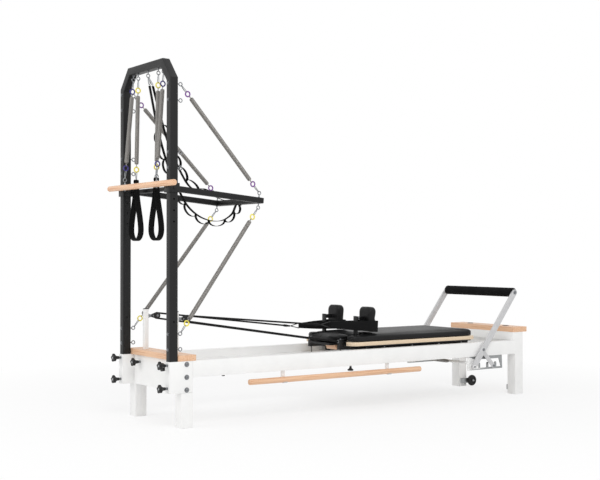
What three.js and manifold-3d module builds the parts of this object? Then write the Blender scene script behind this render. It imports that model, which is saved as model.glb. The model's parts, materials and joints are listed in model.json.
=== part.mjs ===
// A pilates reformer with a half tower at its head end, in millimetres, +Z up.
// While the pieces are made, x = 0 is the outer face of the head legs, y = 0 the centre plane
// and z = 0 the floor. The tower stands at the -x end and the stored pole hangs on the -y side.
// The finished group is moved so that the origin lies under the middle of the whole object.

import * as THREE from "three";
import { mergeVertices } from "three/addons/utils/BufferGeometryUtils.js";
import Module from "manifold-3d";

const wasm = await Module();
wasm.setup();

// Clearances and small shared values
const seat = 0.3; // between pieces that touch
const slip = 0.5; // between pieces that slide or turn on each other
const overrun = 2; // how far a cut runs past what it cuts
const mergeWithin = 0.001; // corners closer than this are one
const near = -1;
const far = 1;
const sides = [near, far];
const sideName = { [near]: "near", [far]: "far" };
const fineFacets = 16;
const roundFacets = 12;
const wireSides = 3;
const smallFacets = 8;
const hexFacets = 6;
const arcSteps = 4; // a half circle has twice as many sides
const cornerSteps = 3; // in the corner of a pad or a hand strap
const snapSteps = 4; // points at each end of a snap hook
const measureSteps = 24; // points in a turn where a coil's gap is measured

// Frame
const frameLength = 2550;
const frameWidth = 604;
const legSide = 70;
const legWall = 4;
const railBottom = 266;
const railHeight = 88;
const railWidth = 45;
const railWall = 3;
const trackRise = 35; // from the rail's bottom to the track's underside
const trackReach = 30;
const trackThickness = 5;
const panelThickness = 18;
const railTop = railBottom + railHeight;
const halfWidth = frameWidth / 2;
const trackTop = railBottom + trackRise + trackThickness;

// Tower sockets at the head end
const socketReach = 70; // how far a socket stands out past the head legs
const socketBottom = 187;
const socketWall = 4;
const socketFloor = 6;

// Tower
const postWide = 48; // along x
const postDeep = 42; // along y
const postWall = 3;
const towerHeight = 1964;
const chamferRun = 96;
const chamferRise = 109;
const shoulderHeight = towerHeight - chamferRise;
const barHoleRadius = 5;
// Places on the posts are shares of their height over the rails
function upPost(share) {
  return railTop + share * (towerHeight - railTop);
}
const pivotHeightShare = 0.56894;
const yokePivotHeight = upPost(pivotHeightShare);
const barHoleDrop = 0.5; // from the push-through bar's pivot to the top hole
const barHoleTop = yokePivotHeight - barHoleDrop;
const barHolePitch = 59.5;
const barHoleCount = 4;
const lowHoleShare = 0.1298;

// Eyebolts
const eyeRadius = 12;
const eyeWire = 3;
const eyeShank = 10;
const shankRadius = 3;
const upperEyeDrop = 34; // below the post's shoulder
const upperEyeHeight = shoulderHeight - upperEyeDrop;
const lowerEyeShare = 0.0901;
const lowerEyeHeight = upPost(lowerEyeShare);
const spareEyeShares = [0.8575, 0.6857, 0.6348, 0.0388];
const outerEyeSpread = 180;
const innerEyeSpread = 120;

// Push-through bar and the yoke that carries it on the posts
const yokeWall = 6;
const yokeHeight = 50;
const pivotForward = 10; // from the posts' +x faces to the pivot axis
const pivotRadius = 13;
const bushWall = 7;
const barLength = 566;
const barTube = 30; // across the arms
const barTubeTall = 32;
const barDrop = 0.091; // slope of the bar at rest, in radians
const barEyeInset = 24; // from the bar's end to its eyebolts
const yokeBoltRadius = 9;
const yokeBoltHeight = 5;

// Springs
const coilRadius = 10; // to the middle of the wire
const coilWire = 2.4;
const coilTurns = 6;
const coilSteps = 8;
const wireFacets = 5;
const straightSteps = 2;
const leadTurns = 0.75; // the turns over which the coil opens from its axis
const springEnd = 105; // from an eye's centre to the coil
const springRing = 15;
const springRingWire = 3;
const snapLength = 46;
const snapWidth = 16;
const snapWire = 2.5;
const leastCoilGap = 0.4;

// Roll-down bar and hand loops
const dowelRadius = 16;
const rollBarLength = 776;
const rollBarRise = 22; // over the push-through bar's pivot
const rollBarHeight = yokePivotHeight + rollBarRise;
const rollEyeSpread = 190;
const loopRise = 52; // over the push-through bar's pivot
const loopHeight = 330;
const loopTop = yokePivotHeight + loopRise;
const loopBottom = loopTop - loopHeight;
const loopHalfWidth = 61;
const loopBand = 35;
const loopThickness = 5;
const loopForward = 12; // from the posts' middle toward the head end
const neckShare = 0.3; // of a hand loop's height
const hipShare = 0.2;
const waistShare = 0.1; // of its half width
const loopEyeRadius = 8;
const loopTab = 5; // across the sewn eye
const loopTail = 39; // from the eye's centre down its tail
const loopNeck = 40; // the closed part at the top of the band

// Multi-loop straps between the tower and the push-through bar, in the plane of the route
const strapWidth = 20;
const strapThickness = 3;
const strapLoopRadius = 22;
const strapLoopSunk = 4.5; // how far a sewn loop's outer side reaches past the band's middle
const strapSteps = 16;

// Risers and their pulleys
const riserSide = 25;
const riserWall = 2;
const riserSpread = 176;
const riserForward = 35; // from the head legs' outer face to the riser's middle
const riserBottom = 200;
const riserTop = 613.5;
const riserGuideWall = 4;
const riserGuideDepth = 120;
const pulleyHeight = 571;
const pulleyForward = 70; // from the riser's middle to the sheave's axis
const sheaveRadius = 16;
const sheaveGroove = 9.8;
const sheaveWidth = 14;
const sheaveFlange = 1.6;
const axleRadius = 4;
const cheekThickness = 3;
const cheekLength = 76;
const cheekHeight = 36;

// Ropes, cleats and padded hand straps
const ropeRadius = 4.5;
const ropeTurnRadius = 15;
const ropeTurnSteps = 6;
const ropeEndRoom = 1.6; // lets a rope's slanted end clear the hand strap's ring
const cleatSpread = 150;
const handStrapHeight = 46;
const handStrapThickness = 6;
const handStrapGap = 4; // round the shoulder pad
const handStrapReach = 100; // from the carriage's front edge to the band's narrow end
const handStrapRise = 4; // over the shoulder pad's foot
const ringLength = 70;
const ringWire = 3;

// Star knobs
const knobRadius = 24;
const knobLobes = 5;
const knobLobeShare = 0.16;
const knobThickness = 16;
const knobNeck = 26;
const knobNeckRadius = 15;
const knobBoreRadius = 8.5;
const studRadius = 4;
const studReach = 10; // past the neck, outside the wall
const socketKnobShares = [0.115, 0.84]; // of the socket's height, from the top
const guideKnobShare = 0.235;

// Platforms
const headPlatformThickness = 31;
const headPlatformReach = 92;
const footPlatformBottom = 407;
const footPlatformThickness = 33;
const footPlatformReach = 40; // past the foot legs
const footPlatformLength = 124;
const footLip = 22; // how far the end panel stands in front of the foot legs
const platformCorner = 6;

// Carriage
const carriageToFoot = 1370; // from the carriage's front edge to the frame's foot end
const carriageStart = frameLength - carriageToFoot;
const carriageLength = 998;
const carriageHalfWidth = 255;
const deckBottom = 372;
const deckThickness = 22;
const deckCorner = 45;
const notchDepth = 120;
const notchHalfWidth = 185;
const cushionThickness = 38;
const cushionCrown = 11;
const cushionInset = 2;
const cushionEdgeShare = 0.4; // of its thickness
const sidePlateSpread = 208;
const sidePlateThickness = 6;
const sidePlateTall = 60;
const runnerReach = 36;
const runnerThickness = 6;
const rollerRadius = 22;
const rollerWidth = 18;
const rollerInset = 60;
const rollerAxleRadius = 6;
const crossBarHeight = 24;
const crossBarDepth = 30;
const cleatReach = 32;
const cleatWidth = 26;
const cleatTop = 408;
const cleatHeight = 24;
const cleatBoltLength = 70;
const cleatBoltRadius = 3;
const carriageSpringRadius = 11;
const carriageSpringShares = [-0.6, -0.2, 0.2, 0.6]; // of the side plates' spread
const carriageSpringForward = 320; // from the carriage's front edge
const carriageSpringStart = carriageStart + carriageSpringForward;
const anchorShare = 0.75;

// Headrest
const headrestOverhang = 68;
const headrestHalfWidth = 108;
const headrestBoard = 14;
const headrestPad = 44;
const headrestCrown = 8;
const headrestEdgeShare = 0.8; // of its corner
const headrestHingeRadius = 4;
const headrestPadEnd = 22; // from the hinge's axis to the pad, so that it can tilt
const propLength = 34;
const propHalfWidth = 50;
const propHeight = 34;
const propFootShare = 0.6;

// Shoulder rests
const shoulderSpread = 160;
const uprightWide = 30;
const uprightThick = 12;
const uprightForward = 84; // from the carriage's front edge
const uprightTop = 545;
const shoulderPadForward = 150; // from the carriage's front edge to the pad's face
const shoulderPadThick = 64;
const shoulderPadWide = 118;
const shoulderPadBottom = 450;
const shoulderPadTop = 604;
const shoulderCornerShare = 0.4; // of the pad's thickness
const shoulderCrownShare = 0.7; // of its corner
const shoulderArmHeight = 24;
const shoulderArmRise = 80;

// Footbar, struts and their toothed plates
const footbarPivotBack = 460; // from the frame's foot end
const footbarPivotX = frameLength - footbarPivotBack;
const footbarPivotZ = 206;
const footbarLength = 587;
const footbarLean = 0.665; // from the vertical, in radians
const footbarGap = 14; // between the frame and an arm
const armWidth = 38;
const armThickness = 12;
const foamRadius = 30;
const coreRadius = 14;
const pivotPinRadius = 8;
const pinHeadRadius = 13;
const pinHeadHeight = 3;
const strutPlace = 132; // from the footbar's pivot along the arm
const strutLength = 152;
const strutAngle = 0.766; // from straight down, at rest
const strutWidth = 28;
const strutThickness = 6;
const strutPinRadius = 6;
const gearBack = 26; // from the plate's head end edge to the footbar's pivot
const gearLength = 304;
const gearStart = footbarPivotX - gearBack;
const gearEnd = gearStart + gearLength;
const gearBottom = 180;
const gearThickness = 6;
const gearInset = 6; // from the frame's side to the plate
const gearFlange = 34;
const gearWindowForward = 64; // from the plate's head end edge to the window
const gearWindowStart = gearStart + gearWindowForward;
const gearEndBand = 20; // the band beside the window's end
const gearTopInset = 4; // by which the plate is shorter at its top
const gearBand = 12;
const gearTopBand = 20;
const toothWidth = 16;
const toothHeight = 34;
const toothShares = [0.17, 0.52, 0.86]; // of the window's length
const springBarBack = 22; // from the footbar's pivot
const springBarX = footbarPivotX - springBarBack;
const springBarZ = 228;
const springBarRadius = 9;

// Transport wheels
const wheelRadius = 37;
const wheelWidth = 26;
const wheelFloorGap = 3;
const wheelForward = 18; // past the foot legs' end faces
const wheelSpread = 196;
const wheelHub = 14;
const wheelAxle = 6;
const wheelShoulderShare = 0.15; // of the wheel's width
const bracketThickness = 6;
const bracketTall = 34;
const bracketRoot = 40;

// Stored pole and its hooks
const poleStartShare = 0.1651; // of the frame's length
const poleStart = frameLength * poleStartShare;
const poleLength = 1237;
const poleHeight = 217;
const poleOut = 1.5; // past the frame's side
const hookWidth = 27;
const hookThickness = 3;
const hookShares = [0.19, 0.8];
const hookLipAngle = 0.75; // below the level of the pole's axis, in radians
const railKnobShare = 0.5812; // of the pole's length
const railKnobForward = poleStart + railKnobShare * poleLength;
const railKnobWidthShare = 0.78; // of the other knobs
const railKnobHeightShare = 0.6;

// Materials
function paint(color, roughness, metalness) {
  return new THREE.MeshStandardMaterial({ color, roughness, metalness });
}
const whitePaint = paint("#f2f2f0", 0.35, 0);
const blackPaint = paint("#2b2b2c", 0.4, 0.1);
const beech = paint("#e3b48a", 0.55, 0);
const paleWood = paint("#ecd3ad", 0.6, 0);
const vinyl = paint("#1d1d1e", 0.6, 0);
const webbing = paint("#141414", 0.9, 0);
const blackPlastic = paint("#17171a", 0.5, 0);
const foam = paint("#101010", 0.85, 0);
const springSteel = paint("#8b8784", 0.35, 0.9);
const greyMetal = paint("#c4c6c8", 0.35, 0.7);
const steel = paint("#8e9091", 0.4, 0.8);

const acrossX = new THREE.Vector3(1, 0, 0);
const acrossY = new THREE.Vector3(0, 1, 0);

// Solids from three.js geometry
function solidOf(geometry) {
  const bare = geometry.index ? geometry.toNonIndexed() : geometry;
  bare.deleteAttribute("normal");
  bare.deleteAttribute("uv");
  const merged = mergeVertices(bare, mergeWithin);
  const triVerts = new Uint32Array(merged.index.array);
  const vertProperties = merged.attributes.position.array;
  return new wasm.Manifold(new wasm.Mesh({ numProp: 3, vertProperties, triVerts }));
}

function join(...solids) {
  return solids.flat().reduce((whole, piece) => whole.add(piece));
}

function cut(whole, ...pieces) {
  return pieces.flat().reduce((left, piece) => left.subtract(piece), whole);
}

function box(xs, ys, zs) {
  const size = [xs, ys, zs].map(([a, b]) => Math.abs(b - a));
  const middle = [xs, ys, zs].map(([a, b]) => (a + b) / 2);
  return solidOf(new THREE.BoxGeometry(...size).translate(...middle));
}

// A flat outline given depth along one axis. The outline's two coordinates are (y, z) for axis x,
// (x, z) for axis y and (x, y) for axis z.
function prism(axis, outline, range, steps = arcSteps) {
  const low = Math.min(...range);
  const high = Math.max(...range);
  const settings = { depth: high - low, bevelEnabled: false, curveSegments: steps };
  const geometry = new THREE.ExtrudeGeometry(outline, settings);
  if (axis === "z") return solidOf(geometry.translate(0, 0, low));
  if (axis === "y") return solidOf(geometry.rotateX(Math.PI / 2).translate(0, high, 0));
  const toX = new THREE.Matrix4().makeBasis(
    new THREE.Vector3(0, 1, 0),
    new THREE.Vector3(0, 0, 1),
    new THREE.Vector3(1, 0, 0),
  );
  return solidOf(geometry.applyMatrix4(toX).translate(low, 0, 0));
}

function outlineOf(points) {
  return new THREE.Shape(points.map(([u, v]) => new THREE.Vector2(u, v)));
}

function turnTo(geometry, from, direction, origin) {
  const turn = new THREE.Quaternion().setFromUnitVectors(from, direction.clone().normalize());
  return geometry.applyQuaternion(turn).translate(origin.x, origin.y, origin.z);
}

function rod(start, end, radius, facets = smallFacets, endRadius = radius) {
  const a = new THREE.Vector3(...start);
  const b = new THREE.Vector3(...end);
  const along = b.clone().sub(a);
  const geometry = new THREE.CylinderGeometry(endRadius, radius, along.length(), facets);
  const middle = a.clone().add(b).multiplyScalar(0.5);
  return solidOf(turnTo(geometry, new THREE.Vector3(0, 1, 0), along, middle));
}

function ring(centre, normal, radius, wire, around = smallFacets) {
  const geometry = new THREE.TorusGeometry(radius, wire, wireSides, around);
  geometry.rotateZ(Math.PI / around);
  const axis = new THREE.Vector3(0, 0, 1);
  return solidOf(turnTo(geometry, axis, normal, new THREE.Vector3(...centre)));
}

function tube(curve, radius, steps, facets = smallFacets) {
  const corners = Array.from({ length: facets }, (_, i) => {
    const angle = (i / facets) * 2 * Math.PI;
    return new THREE.Vector2(radius * Math.cos(angle), radius * Math.sin(angle));
  });
  const section = new THREE.Shape(corners);
  const settings = { steps, extrudePath: curve, bevelEnabled: false };
  return solidOf(new THREE.ExtrudeGeometry(section, settings));
}

function meshOf(name, solid, material) {
  const { vertProperties, triVerts } = solid.getMesh();
  const geometry = new THREE.BufferGeometry();
  geometry.setAttribute("position", new THREE.BufferAttribute(vertProperties, 3));
  geometry.setIndex(new THREE.BufferAttribute(triVerts, 1));
  geometry.computeVertexNormals();
  const mesh = new THREE.Mesh(geometry, material);
  mesh.name = name;
  return mesh;
}

const model = new THREE.Group();
function add(name, solid, material) {
  model.add(meshOf(name, solid, material));
}

// A plate outline with round ends, from one point to another
function linkOutline(from, to, width) {
  const angle = Math.atan2(to[1] - from[1], to[0] - from[0]);
  const outline = new THREE.Shape();
  const r = width / 2;
  outline.absarc(from[0], from[1], r, angle + Math.PI / 2, angle + 1.5 * Math.PI);
  outline.absarc(to[0], to[1], r, angle - Math.PI / 2, angle + Math.PI / 2);
  outline.closePath();
  return outline;
}

// A rounded rectangle outline
function roundedOutline([u0, u1], [v0, v1], radius) {
  const outline = new THREE.Shape();
  const corners = [
    [u1 - radius, v0 + radius, -0.5],
    [u1 - radius, v1 - radius, 0],
    [u0 + radius, v1 - radius, 0.5],
    [u0 + radius, v0 + radius, 1],
  ];
  for (const [u, v, start] of corners) {
    outline.absarc(u, v, radius, start * Math.PI, (start + 0.5) * Math.PI);
  }
  outline.closePath();
  return outline;
}

// A pad's side, from its foot up: a share of the height and a share of the edge's inset
const padSideShares = [
  [0, 0.45],
  [0.14, 0.1],
  [0.45, 0],
  [0.78, 0.12],
  [1, 0.62],
];
const padCrownShares = [0.25, 0.5, 0.75];

// A stuffed pad: drawn in at its foot, full at its sides and crowned on top. It is lofted from
// rounded rectangles and lies along z; each ring is a share of the height and an inset.
function pad(xs, ys, zs, corner, edge, crown) {
  const height = zs[1] - zs[0];
  const profile = padSideShares.map(([share, inset]) => {
    return [zs[0] + share * (height - crown), inset * edge];
  });
  const reach = Math.min(xs[1] - xs[0], ys[1] - ys[0]) / 2;
  for (const share of padCrownShares) {
    const rise = 1 - (1 - share) * (1 - share);
    profile.push([zs[1] - crown + rise * crown, edge + share * (reach - edge)]);
  }
  const loops = profile.map(([z, inset]) => {
    const radius = Math.max(corner - inset, (corner * edge) / (corner + inset));
    const points = [];
    const corners = [
      [xs[1], ys[0], -1, 1, -0.5],
      [xs[1], ys[1], -1, -1, 0],
      [xs[0], ys[1], 1, -1, 0.5],
      [xs[0], ys[0], 1, 1, 1],
    ];
    for (const [x, y, inX, inY, start] of corners) {
      const limit = Math.min(radius, (xs[1] - xs[0]) / 2 - inset, (ys[1] - ys[0]) / 2 - inset);
      const cx = x + inX * (inset + limit);
      const cy = y + inY * (inset + limit);
      for (let i = 0; i <= cornerSteps; i++) {
        const angle = (start + (0.5 * i) / cornerSteps) * Math.PI;
        points.push([cx + limit * Math.cos(angle), cy + limit * Math.sin(angle), z]);
      }
    }
    return points;
  });
  return loft(loops);
}

// Closed rings of equal counts, joined in order. The ends are closed by fans, or the last ring
// is joined to the first.
function loft(loops, closed = false) {
  const count = loops[0].length;
  const rows = loops.length;
  const positions = loops.flat(2);
  const index = [];
  for (let row = 0; row < (closed ? rows : rows - 1); row++) {
    const next = ((row + 1) % rows) * count;
    for (let i = 0; i < count; i++) {
      const j = (i + 1) % count;
      index.push(row * count + i, row * count + j, next + j);
      index.push(row * count + i, next + j, next + i);
    }
  }
  const closeEnd = (loop, first, turned) => {
    const middle = [0, 1, 2].map((k) => loop.reduce((sum, p) => sum + p[k], 0) / count);
    const centre = positions.length / 3;
    positions.push(...middle);
    for (let i = 0; i < count; i++) {
      const a = first + i;
      const b = first + ((i + 1) % count);
      index.push(centre, ...(turned ? [b, a] : [a, b]));
    }
  };
  if (!closed) {
    closeEnd(loops[0], 0, true);
    closeEnd(loops[rows - 1], (rows - 1) * count, false);
  }
  const geometry = new THREE.BufferGeometry();
  geometry.setAttribute("position", new THREE.Float32BufferAttribute(positions, 3));
  geometry.setIndex(index);
  return solidOf(geometry);
}

// A tube through given points, with a ring of corners at each, closed at its ends or on itself
function sweep(points, radius, facets, closed = false) {
  const last = points.length - 1;
  const around = (i) => points[(i + points.length) % points.length];
  const between = (i) => points[THREE.MathUtils.clamp(i, 0, last)];
  const pointAt = closed ? around : between;
  const tangents = points.map((_, i) =>
    new THREE.Vector3().subVectors(pointAt(i + 1), pointAt(i - 1)).normalize(),
  );
  const flat = new THREE.Vector3();
  points.forEach((point, i) => flat.add(new THREE.Vector3().crossVectors(point, pointAt(i + 1))));
  let normal = closed ? flat.normalize() : acrossY.clone();
  const loops = points.map((point, i) => {
    normal = normal.clone().addScaledVector(tangents[i], -normal.dot(tangents[i])).normalize();
    const across = new THREE.Vector3().crossVectors(tangents[i], normal);
    return Array.from({ length: facets }, (_, k) => {
      const angle = (k / facets) * 2 * Math.PI;
      const corner = point.clone().addScaledVector(normal, radius * Math.cos(angle));
      return corner.addScaledVector(across, radius * Math.sin(angle)).toArray();
    });
  });
  return loft(loops, closed);
}

// Frame: rails with their inner tracks
const railStart = legSide + seat;
const railEnd = frameLength - legSide - seat;
function railSolid(side) {
  const outer = side * halfWidth;
  const inner = side * (halfWidth - railWidth);
  const xs = [railStart, railEnd];
  const hollow = box(
    [railStart - overrun, railEnd + overrun],
    [outer - side * railWall, inner + side * railWall],
    [railBottom + railWall, railTop - railWall],
  );
  const track = box(
    xs,
    [inner + (side * railWall) / 2, inner - side * trackReach],
    [trackTop - trackThickness, trackTop],
  );
  return join(cut(box(xs, [outer, inner], [railBottom, railTop]), hollow), track);
}

// A hook under the near rail: a stem, a half round below the pole and a short lip
const poleY = near * (halfWidth + poleOut);
function hookSolid(middle) {
  const inner = dowelRadius + seat;
  const outer = inner + hookThickness;
  const outline = new THREE.Shape();
  outline.absarc(0, 0, outer, Math.PI + hookLipAngle, 2 * Math.PI, false);
  outline.lineTo(outer, railBottom + railWall / 2 - poleHeight);
  outline.lineTo(inner, railBottom + railWall / 2 - poleHeight);
  outline.absarc(0, 0, inner, 2 * Math.PI, Math.PI + hookLipAngle, true);
  outline.closePath();
  const hook = prism("x", outline, [middle - hookWidth / 2, middle + hookWidth / 2]);
  return hook.translate([0, poleY, poleHeight]);
}

const railKnobY = near * (halfWidth - railWidth / 2);
function buildRails() {
  const hooks = hookShares.map((share) => hookSolid(poleStart + share * poleLength));
  const knobHole = rod(
    [railKnobForward, railKnobY, railBottom - overrun],
    [railKnobForward, railKnobY, railBottom + railWall + overrun],
    studRadius + slip,
  );
  add("rail_near", cut(join(railSolid(near), hooks), knobHole), whitePaint);
  add("rail_far", railSolid(far), whitePaint);
}

// A leg is a square tube with a closed foot
function legSolid(start, side, top) {
  const outer = side * halfWidth;
  const inner = side * (halfWidth - legSide);
  const bore = box(
    [start + legWall, start + legSide - legWall],
    [outer - side * legWall, inner + side * legWall],
    [legWall, top + overrun],
  );
  return cut(box([start, start + legSide], [outer, inner], [0, top]), bore);
}

// Head end frame: two legs, the end panel and the square guides of the risers
const postOuter = halfWidth - socketWall - seat;
const postInner = postOuter - postDeep;
const socketInner = postInner - seat - socketWall;
const guideInner = riserSide / 2 + slip;
const guideOuter = guideInner + riserGuideWall;
const socketHeight = railTop - socketBottom;
function guideKnobHeight() {
  return railTop - guideKnobShare * socketHeight;
}

function buildHeadFrame() {
  const pieces = [];
  for (const side of sides) {
    pieces.push(legSolid(0, side, socketBottom - seat));
    const stub = [side * (socketInner - seat), side * (halfWidth - legSide)];
    pieces.push(box([0, legSide], stub, [socketBottom - legSide, railTop - seat]));
    const guideY = [side * riserSpread - guideOuter, side * riserSpread + guideOuter];
    const guideX = [panelThickness / 2, riserForward + guideOuter];
    pieces.push(box(guideX, guideY, [railTop - riserGuideDepth, railTop - seat]));
  }
  const reach = socketInner - seat;
  pieces.push(box([0, panelThickness], [-reach, reach], [socketBottom, railTop - seat]));
  const holes = [];
  for (const side of sides) {
    const y = side * riserSpread;
    holes.push(
      box(
        [riserForward - guideInner, riserForward + guideInner],
        [y - guideInner, y + guideInner],
        [0, railTop + overrun],
      ),
    );
    const z = guideKnobHeight();
    holes.push(rod([-overrun, y, z], [riserForward, y, z], studRadius + slip));
  }
  add("head_end_frame", cut(join(pieces), holes), whitePaint);
}

// Sockets: the post's pocket and the part bolted to the leg and rail
const postBack = -socketReach + socketWall + seat;
const postFront = postBack + postWide;
const postMiddleX = (postBack + postFront) / 2;
const postMiddleY = (postOuter + postInner) / 2;
const postBottom = socketBottom + socketFloor + seat;
function socketKnobHeights() {
  return socketKnobShares.map((share) => railTop - share * socketHeight);
}

function buildSockets() {
  for (const side of sides) {
    const outline = [side * halfWidth, side * socketInner];
    const body = box([-socketReach, legSide], outline, [socketBottom, railTop]);
    const pocket = box(
      [postBack - seat, postFront + seat],
      [side * (postOuter + seat), side * (postInner - seat)],
      [socketBottom + socketFloor, railTop + overrun],
    );
    const y = side * postMiddleY;
    const holes = socketKnobHeights().map((z) =>
      rod([-socketReach - overrun, y, z], [postBack, y, z], studRadius + slip),
    );
    add(`tower_socket_${sideName[side]}`, cut(body, pocket, holes), whitePaint);
  }
}

// Tower: one bent square tube. The outline lies in the (y, z) plane, at an inset from outside.
function portalPoints(inset, bottom) {
  const rise = towerHeight - shoulderHeight;
  const slope = Math.hypot(rise, chamferRun);
  const half = postOuter - inset;
  const shoulder = shoulderHeight - (inset * (slope - rise)) / chamferRun;
  const crown = postOuter - chamferRun - (inset * (slope - chamferRun)) / rise;
  const top = towerHeight - inset;
  return [
    [-half, bottom],
    [-half, shoulder],
    [-crown, top],
    [crown, top],
    [half, shoulder],
    [half, bottom],
  ];
}

function portalBand(outerInset, innerInset, bottom, xs) {
  const inner = portalPoints(innerInset, bottom).reverse();
  return prism("x", outlineOf([...portalPoints(outerInset, bottom), ...inner]), xs);
}

function eyeStandoff() {
  return eyeShank + eyeRadius + eyeWire;
}

// An eyebolt: its shank starts at a root inside the piece and its ring stands before the face
function eyebolt(face, root, direction) {
  const towards = new THREE.Vector3(...direction);
  const at = (reach) => new THREE.Vector3(...face).addScaledVector(towards, reach).toArray();
  const eye = ring(at(eyeStandoff()), acrossY, eyeRadius, eyeWire);
  return join(eye, rod(root, at(eyeShank + eyeWire / 2), shankRadius, wireFacets));
}

const crossEyeZ = towerHeight - postDeep - eyeStandoff();
const postEyeX = postFront + eyeStandoff();
function postEyeHeights() {
  return [upperEyeHeight, lowerEyeHeight, ...spareEyeShares.map(upPost)];
}

function barHoleHeights() {
  const row = Array.from({ length: barHoleCount }, (_, i) => barHoleTop - i * barHolePitch);
  return [...row, upPost(lowHoleShare)];
}

function buildTower() {
  const shell = portalBand(0, postDeep, postBottom, [postBack, postFront]);
  const hollowX = [postBack + postWall, postFront - postWall];
  const hollow = portalBand(postWall, postDeep - postWall, postBottom - overrun, hollowX);
  const eyes = [];
  const holes = [];
  for (const side of sides) {
    const y = side * postMiddleY;
    for (const z of postEyeHeights()) {
      eyes.push(eyebolt([postFront, y, z], [postFront - postWall / 2, y, z], [1, 0, 0]));
    }
    for (const z of barHoleHeights()) {
      const outer = [postMiddleX, side * (postOuter + overrun), z];
      const inner = [postMiddleX, side * (postInner - overrun), z];
      holes.push(rod(outer, inner, barHoleRadius, hexFacets));
    }
  }
  for (const y of [-outerEyeSpread, -innerEyeSpread, 0, innerEyeSpread, outerEyeSpread]) {
    const under = [postMiddleX, y, towerHeight - postDeep];
    eyes.push(eyebolt(under, [postMiddleX, y, under[2] + postWall / 2], [0, 0, -1]));
  }
  add("tower_frame", join(cut(shell, hollow, holes), eyes), blackPaint);
}

// Yoke: a sleeve round each post, an ear inside it and the pivot tube from ear to ear
const pivotX = postFront + pivotForward;
const yokeBottom = yokePivotHeight - yokeHeight / 2;
const yokeTop = yokePivotHeight + yokeHeight / 2;
const sleeveReach = slip + yokeWall;
const earInner = postInner - sleeveReach - yokeWall;
function buildYoke() {
  const pieces = [];
  const holes = [];
  for (const side of sides) {
    const zs = [yokeBottom, yokeTop];
    const ys = [side * (postOuter + sleeveReach), side * (postInner - sleeveReach)];
    pieces.push(box([postBack - sleeveReach, postFront + sleeveReach], ys, zs));
    const earX = [postBack - sleeveReach, pivotX + pivotRadius];
    pieces.push(box(earX, [side * (postInner - sleeveReach + slip), side * earInner], zs));
    const head = postOuter + sleeveReach;
    pieces.push(
      rod(
        [postMiddleX, side * (head - slip), barHoleTop],
        [postMiddleX, side * (head + yokeBoltHeight), barHoleTop],
        yokeBoltRadius,
        hexFacets,
      ),
    );
    holes.push(
      box(
        [postBack - slip, postFront + slip],
        [side * (postOuter + slip), side * (postInner - slip)],
        [yokeBottom - overrun, yokeTop + overrun],
      ),
    );
  }
  const reach = earInner + yokeWall / 2;
  const pivot = rod(
    [pivotX, -reach, yokePivotHeight],
    [pivotX, reach, yokePivotHeight],
    pivotRadius,
    roundFacets,
  );
  add("bar_yoke", join(cut(join(pieces), holes), pivot), blackPaint);
}

// Push-through bar, made level at the origin and then turned to its slope at the pivot
const armOuter = earInner - seat;
const armInner = armOuter - barTube;
const eyeAlong = barLength - barEyeInset;
const facetGap = 1 / Math.cos(Math.PI / roundFacets);
function onBar(point) {
  const turned = new THREE.Vector3(...point).applyAxisAngle(new THREE.Vector3(0, 1, 0), barDrop);
  return turned.add(new THREE.Vector3(pivotX, 0, yokePivotHeight)).toArray();
}

function buildPushBar() {
  const half = barTubeTall / 2;
  const frame = cut(
    box([0, barLength], [-armOuter, armOuter], [-half, half]),
    box([-overrun, barLength - barTube], [-armInner, armInner], [-half - overrun, half + overrun]),
  );
  const pieces = [frame];
  const holes = [];
  for (const side of sides) {
    const bushRadius = pivotRadius + bushWall;
    const from = [0, side * armInner, 0];
    const to = [0, side * armOuter, 0];
    pieces.push(rod(from, to, bushRadius, roundFacets));
    const y = side * (armInner + barTube / 2);
    pieces.push(eyebolt([eyeAlong, y, half], [eyeAlong, y, 0], [0, 0, 1]));
    pieces.push(eyebolt([eyeAlong, y, -half], [eyeAlong, y, 0], [0, 0, -1]));
    const holeFrom = [0, side * (armInner - overrun), 0];
    const holeTo = [0, side * (armOuter + overrun), 0];
    holes.push(rod(holeFrom, holeTo, (pivotRadius + slip) * facetGap, roundFacets));
  }
  const level = cut(join(pieces), holes);
  const placed = level.rotate([0, THREE.MathUtils.radToDeg(barDrop), 0]);
  add("push_through_bar", placed.translate([pivotX, 0, yokePivotHeight]), blackPaint);
}

// A spring: snap hook, coloured ring, coil, ring and snap hook, from one eye's centre to another
class CoilCurve extends THREE.Curve {
  constructor(start, length, stub) {
    super();
    Object.assign(this, { start, length, stub });
    this.arcLengthDivisions = coilTurns * coilSteps * 4;
  }
  getPoint(t, target = new THREE.Vector3()) {
    const z = this.start + t * this.length;
    const along = z - this.start - this.stub;
    const coil = this.length - 2 * this.stub;
    const turn = (THREE.MathUtils.clamp(along / coil, 0, 1) || 0) * coilTurns;
    const open = Math.min(turn, coilTurns - turn) / leadTurns;
    const radius = coilRadius * THREE.MathUtils.smoothstep(open, 0, 1);
    const angle = turn * 2 * Math.PI;
    return target.set(radius * Math.cos(angle), radius * Math.sin(angle), z);
  }
}

let leastMeasuredGap = Infinity;
function measureCoil(curve) {
  const points = curve.getPoints(coilTurns * measureSteps);
  for (let i = 0; i < points.length; i++) {
    for (let j = i + measureSteps / 2; j < points.length; j++) {
      const gap = points[i].distanceTo(points[j]) - 2 * coilWire;
      leastMeasuredGap = Math.min(leastMeasuredGap, gap);
    }
  }
}

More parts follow.
